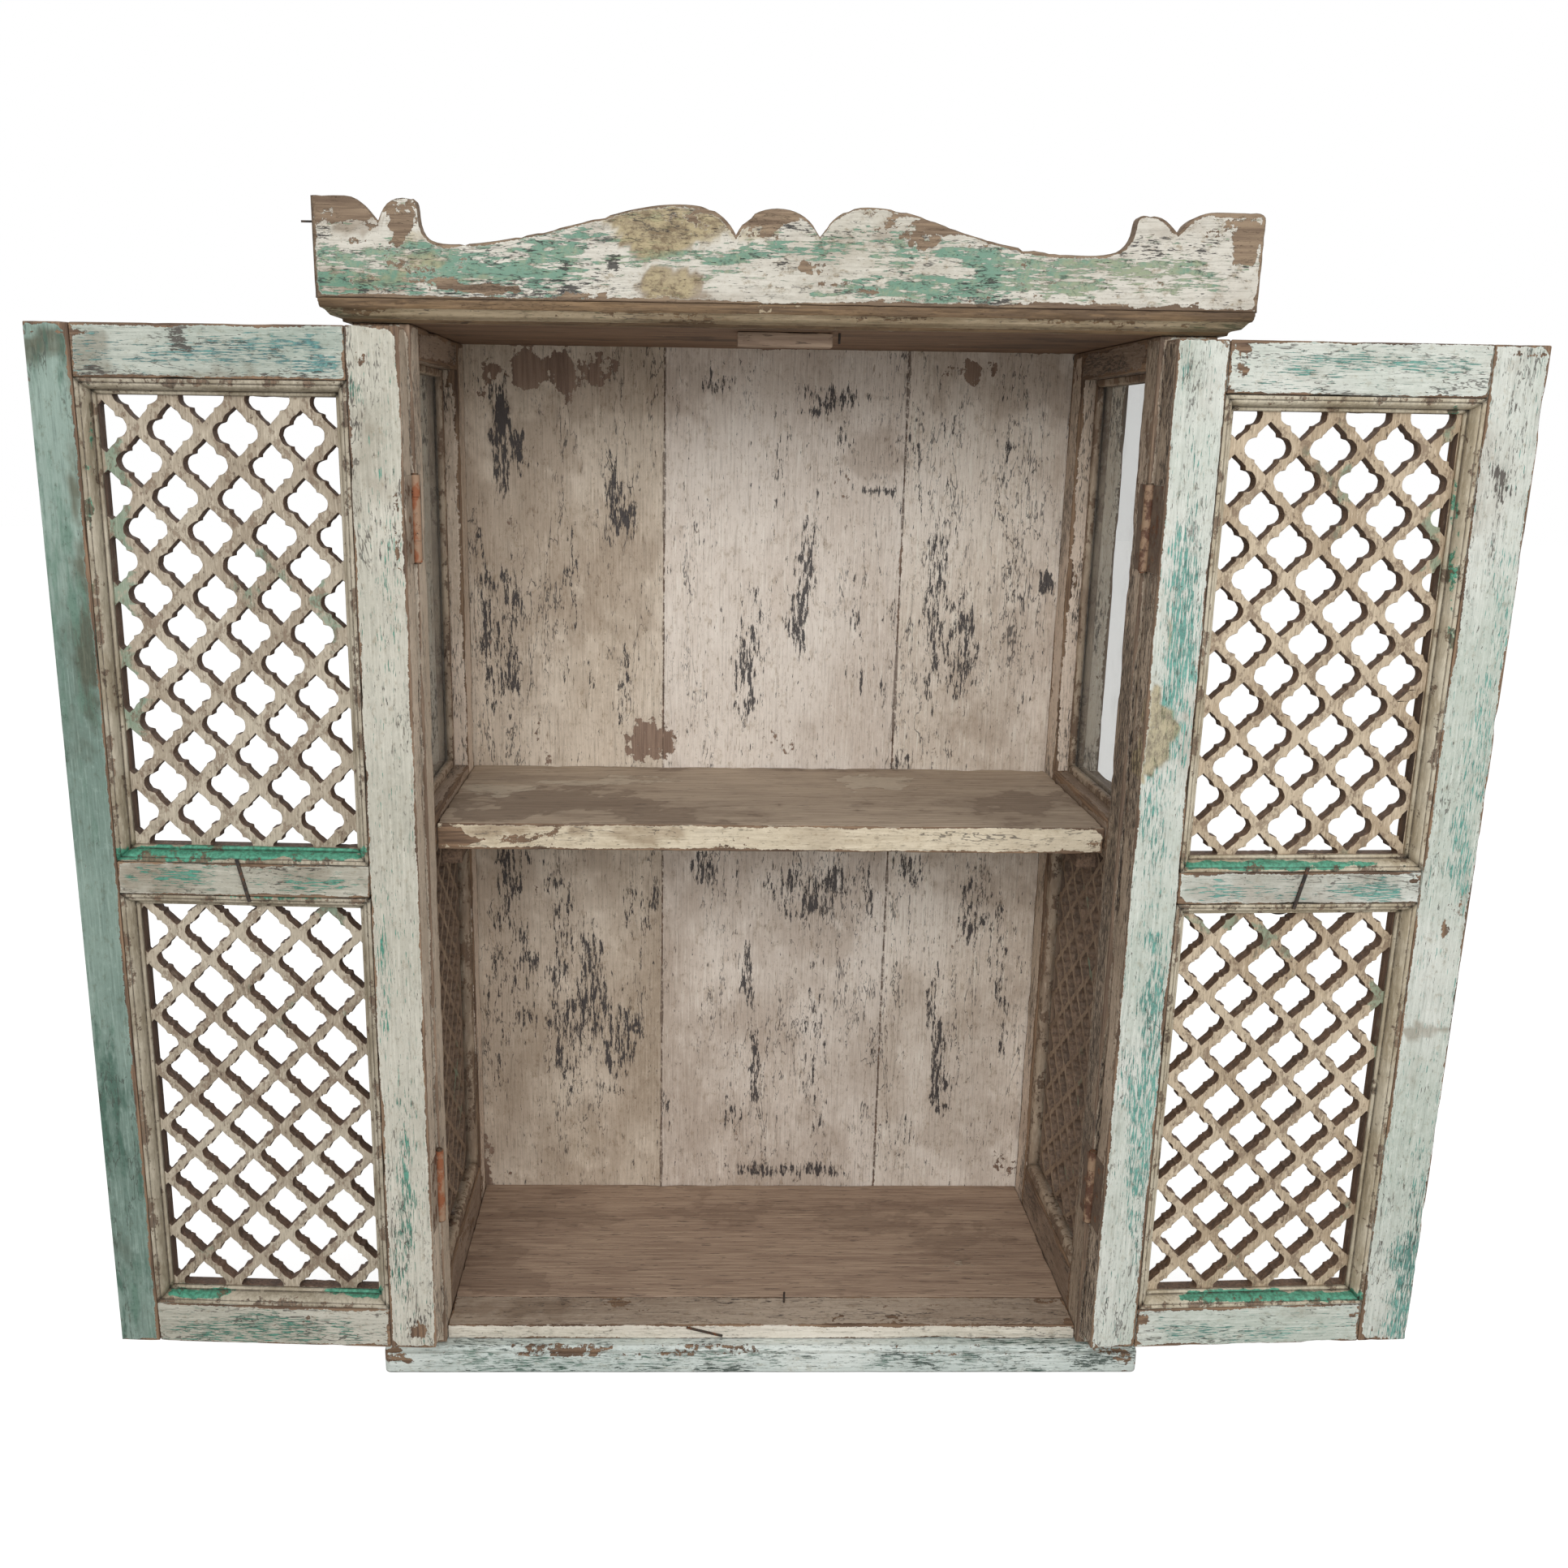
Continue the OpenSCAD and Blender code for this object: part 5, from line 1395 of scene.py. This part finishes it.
def make_cornice():
    """The moulding round the top, mitred at the front corners."""
    low, high = span("cornice_returns")
    half, back = POST + OPENING / 2, high.y
    sides, front = CORNICE_SIDE_STEPS, CORNICE_FRONT_STEPS
    path = [("left", back * (1 - i / sides)) for i in range(sides + 1)]
    path += [("front", -half + 2 * half * i / front) for i in range(1, front)]
    path += [("right", back * i / sides) for i in range(sides + 1)]
    vertices, worn, hollow = [], [], []
    for kind, at in path:
        for out, up in CORNICE_SECTION:
            spot = Vector((at * 38 + len(kind), out * 170, up * 170))
            chip = max(0, noise.noise(spot * 2) - 0.12) * 0.004 if out > 0.018 or up < 0.003 else 0
            reach = max(0, out - (0.00025 + 0.0002 * noise.noise(spot) + chip if out > 0.001 else 0))
            if kind == "front":
                vertices.append(Vector((at, -reach, low.z + up)))
            else:
                turn = LEFT if kind == "left" else RIGHT
                vertices.append(Vector((turn * (half + reach), -reach if at < 1e-9 else at, low.z + up)))
            worn.append(1.0 if out > 0.0205 or 0.0055 <= out <= 0.0062 else 0.0)
            hollow.append(1.0 if 0.0075 < out < 0.012 or 0.0205 < out < 0.0216 else 0.0)
    faces = run_faces(len(path), len(CORNICE_SECTION))
    piece = make_object("cornice_run", vertices, faces, edge=worn, hollow=hollow)
    finish_piece(piece, "carcass", "tan_paint", cornice_paint, "cornice_front", "cornice_returns")


def crest_line():
    """The crest's top edge from its left end to its right end, as (across, height above its foot) in metres."""
    line, start = [], CREST_START
    for curve in CREST_CURVES:
        points = (start, *curve)
        start = curve[-1]
        count = max(4, round(math.dist(points[0], start) / 4.5))
        for i in range(count):
            t = i / count
            weights = ((1 - t) ** 3, 3 * t * (1 - t) ** 2, 3 * t * t * (1 - t), t ** 3)
            line.append(tuple(sum(w * p[a] for w, p in zip(weights, points)) for a in (0, 1)))
    return [(x / 1000, CREST_HEIGHT + z / 1000) for x, z in (*line, start)]


def make_crest():
    """The crest board: upright rings through its thickness along its scalloped top edge."""
    low, high = span("crest_board")
    line = crest_line()
    last = len(line) - 1
    vertices, worn = [], []
    for number, (x, top) in enumerate(line):
        before, after = line[max(0, number - 1)], line[min(last, number + 1)]
        along = Vector((after[0] - before[0], after[1] - before[1])).normalized()
        out = Vector((-along.y, along.x))
        end = min(x - line[0][0], line[last][0] - x)
        rising = [(top - CREST_DEPTHS[0]) * (1 - tenth / 10) for tenth in range(9, 0, -1)]
        heights = [0.0, 0.0015, *rising, *(top - depth for depth in CREST_DEPTHS)]
        for side, z in [(0, z) for z in heights] + [(1, z) for z in heights[::-1]]:
            below = top - z
            rounding = max(0.0, CREST_ROUNDING - min(below, end, z + 0.001))
            back = CREST_ROUNDING - math.sqrt(max(0.0, CREST_ROUNDING ** 2 - rounding ** 2))
            spot = Vector((x * 60, z * 60, side * 3.0))
            edge = max(0.0, 1 - min(below, end) / EDGE_REACH)
            bite = max(0.0, noise.noise(spot * 1.6) + 0.3 * noise.noise(spot * 5) - 0.15) * edge * edge
            inset = 0.0003 + 0.0002 * noise.noise(spot) + back + 0.004 * bite
            shift = 0.0004 * noise.noise(spot + Vector((7, 7, 7))) + 0.003 * bite * (below < 0.003)
            vertices.append(Vector((
                max(low.x, min(high.x, x - out.x * shift)),
                high.y - inset if side else low.y + inset,
                low.z + max(0.0, z - out.y * max(0.0, shift)),
            )))
            worn.append(max(edge, 1 - z / 0.007 if z < 0.007 else 0.0))
    faces = run_faces(len(line), len(vertices) // len(line))
    piece = make_object("crest_board_cut", vertices, faces, edge=worn)
    finish_piece(piece, "carcass", "cream_paint", crest_paint, "crest_board")


def make_hanging_rail():
    """The rail behind the crest with its two hanging holes, built as a pierced sheet."""
    low, high = span("hanging_rail")
    width, height = high.x - low.x, high.z - low.z
    turns = [i / HOLE_SIDES * math.tau for i in range(HOLE_SIDES)]
    ring = [(HOLE_RADIUS * math.cos(a), HOLE_RADIUS * math.sin(a)) for a in turns]
    holes = [[(width / 2 + turn * HOLE_PLACE + x, height / 2 + z) for x, z in ring] for turn in (LEFT, RIGHT)]
    sheet = (refined(rectangle(width, height), 0.012), holes)
    mesh = carved_sheet("hanging_rail_worn", [sheet], high.y - low.y, 0.0015)
    mesh.transform(Matrix.Translation(low))
    finish_piece(put_mesh("hanging_rail_worn", mesh), "carcass", "bare_wood", brown_across, "hanging_rail")


# Ironwork and glass, whose CAD shapes stay

NODE_LOOKS = (
    (dark_iron, "crest_wire", "left_pull_plate", "right_pull_plate", "left_ring", "right_ring", "old_nails"),
    (screw_iron, "door_screws_left", "door_screws_right", "frame_screws", "hinge_pins"),
    (left_hinge, "hinge_door_leaves_left", "hinge_frame_leaves_left"),
    (right_hinge, "hinge_door_leaves_right", "hinge_frame_leaves_right"),
    (glass, "glass_left", "glass_right"),
)


def dress_nodes():
    for material, *nodes in NODE_LOOKS:
        for node in nodes:
            for slot in NODES[node].material_slots:
                slot.material = material


# Surroundings

FLOOR_HALF = 12
FLOOR_TONE = (0.62, 0.62, 0.61, 1)
FLOOR_GLOW = 0.78
AMBIENT = 0.42


def make_floor():
    """A plain pale floor that keeps the object's shadow."""
    mesh = bpy.data.meshes.new("floor")
    far = FLOOR_HALF
    mesh.from_pydata([(-far, -far, 0), (far, -far, 0), (far, far, 0), (-far, far, 0)], [], [(0, 1, 2, 3)])
    floor = add_object("floor", mesh)
    material = bpy.data.materials.new("floor")
    tree = Tree(material)
    surface = tree.nodes["Principled BSDF"]
    tree.feed(surface, {"Base Color": FLOOR_TONE, "Roughness": 0.9, "Specular IOR Level": 0.0})
    lit = Value(tree, surface.outputs[0])
    glow = tree.add("ShaderNodeEmission", {"Strength": FLOOR_GLOW})
    both = tree.add("ShaderNodeAddShader", {0: lit, 1: glow})
    seen = tree.add("ShaderNodeLightPath", {}, "Is Camera Ray")
    shown = tree.add("ShaderNodeMixShader", {0: seen, 1: lit, 2: both})
    tree.feed(tree.nodes["Material Output"], {"Surface": shown})
    mesh.materials.append(material)


def make_world():
    """A white world, dimmer where it only lights the scene."""
    world = bpy.data.worlds.new("studio")
    bpy.context.scene.world = world
    tree = Tree(world)
    kinds = ("Is Camera Ray", "Is Glossy Ray", "Is Transmission Ray")
    camera, glossy, through = (tree.add("ShaderNodeLightPath", {}, kind) for kind in kinds)
    seen = camera.most(glossy).most(through)
    level = tree.add("ShaderNodeMapRange", {"Value": seen, "To Min": AMBIENT, "To Max": 1.0})
    tree.feed(tree.nodes["Background"], {"Color": (1, 1, 1, 1), "Strength": level})


def make_light(name, place, target, size, power):
    data = bpy.data.lights.new(name, "AREA")
    data.shape = "DISK"
    data.size = size
    data.energy = power
    light = add_object(name, data)
    light.location = place
    light.rotation_euler = (Vector(target) - Vector(place)).to_track_quat("-Z", "Y").to_euler()


bpy.context.scene.view_settings.view_transform = "Standard"
make_camera()
for side in (LEFT, RIGHT):
    make_door_frame(side)
    make_panels(side)
    make_posts(side)
    make_sides(side)
make_back()
make_level_boards()
make_plinth()
make_cornice()
make_crest()
make_hanging_rail()
dress_nodes()
make_floor()
make_world()
make_light("front", (-0.5, -3.0, 2.2), (0, 0, 0.55), 2.2, 62)
make_light("side", (2.4, -2.2, 1.6), (0, 0, 0.5), 1.8, 18)
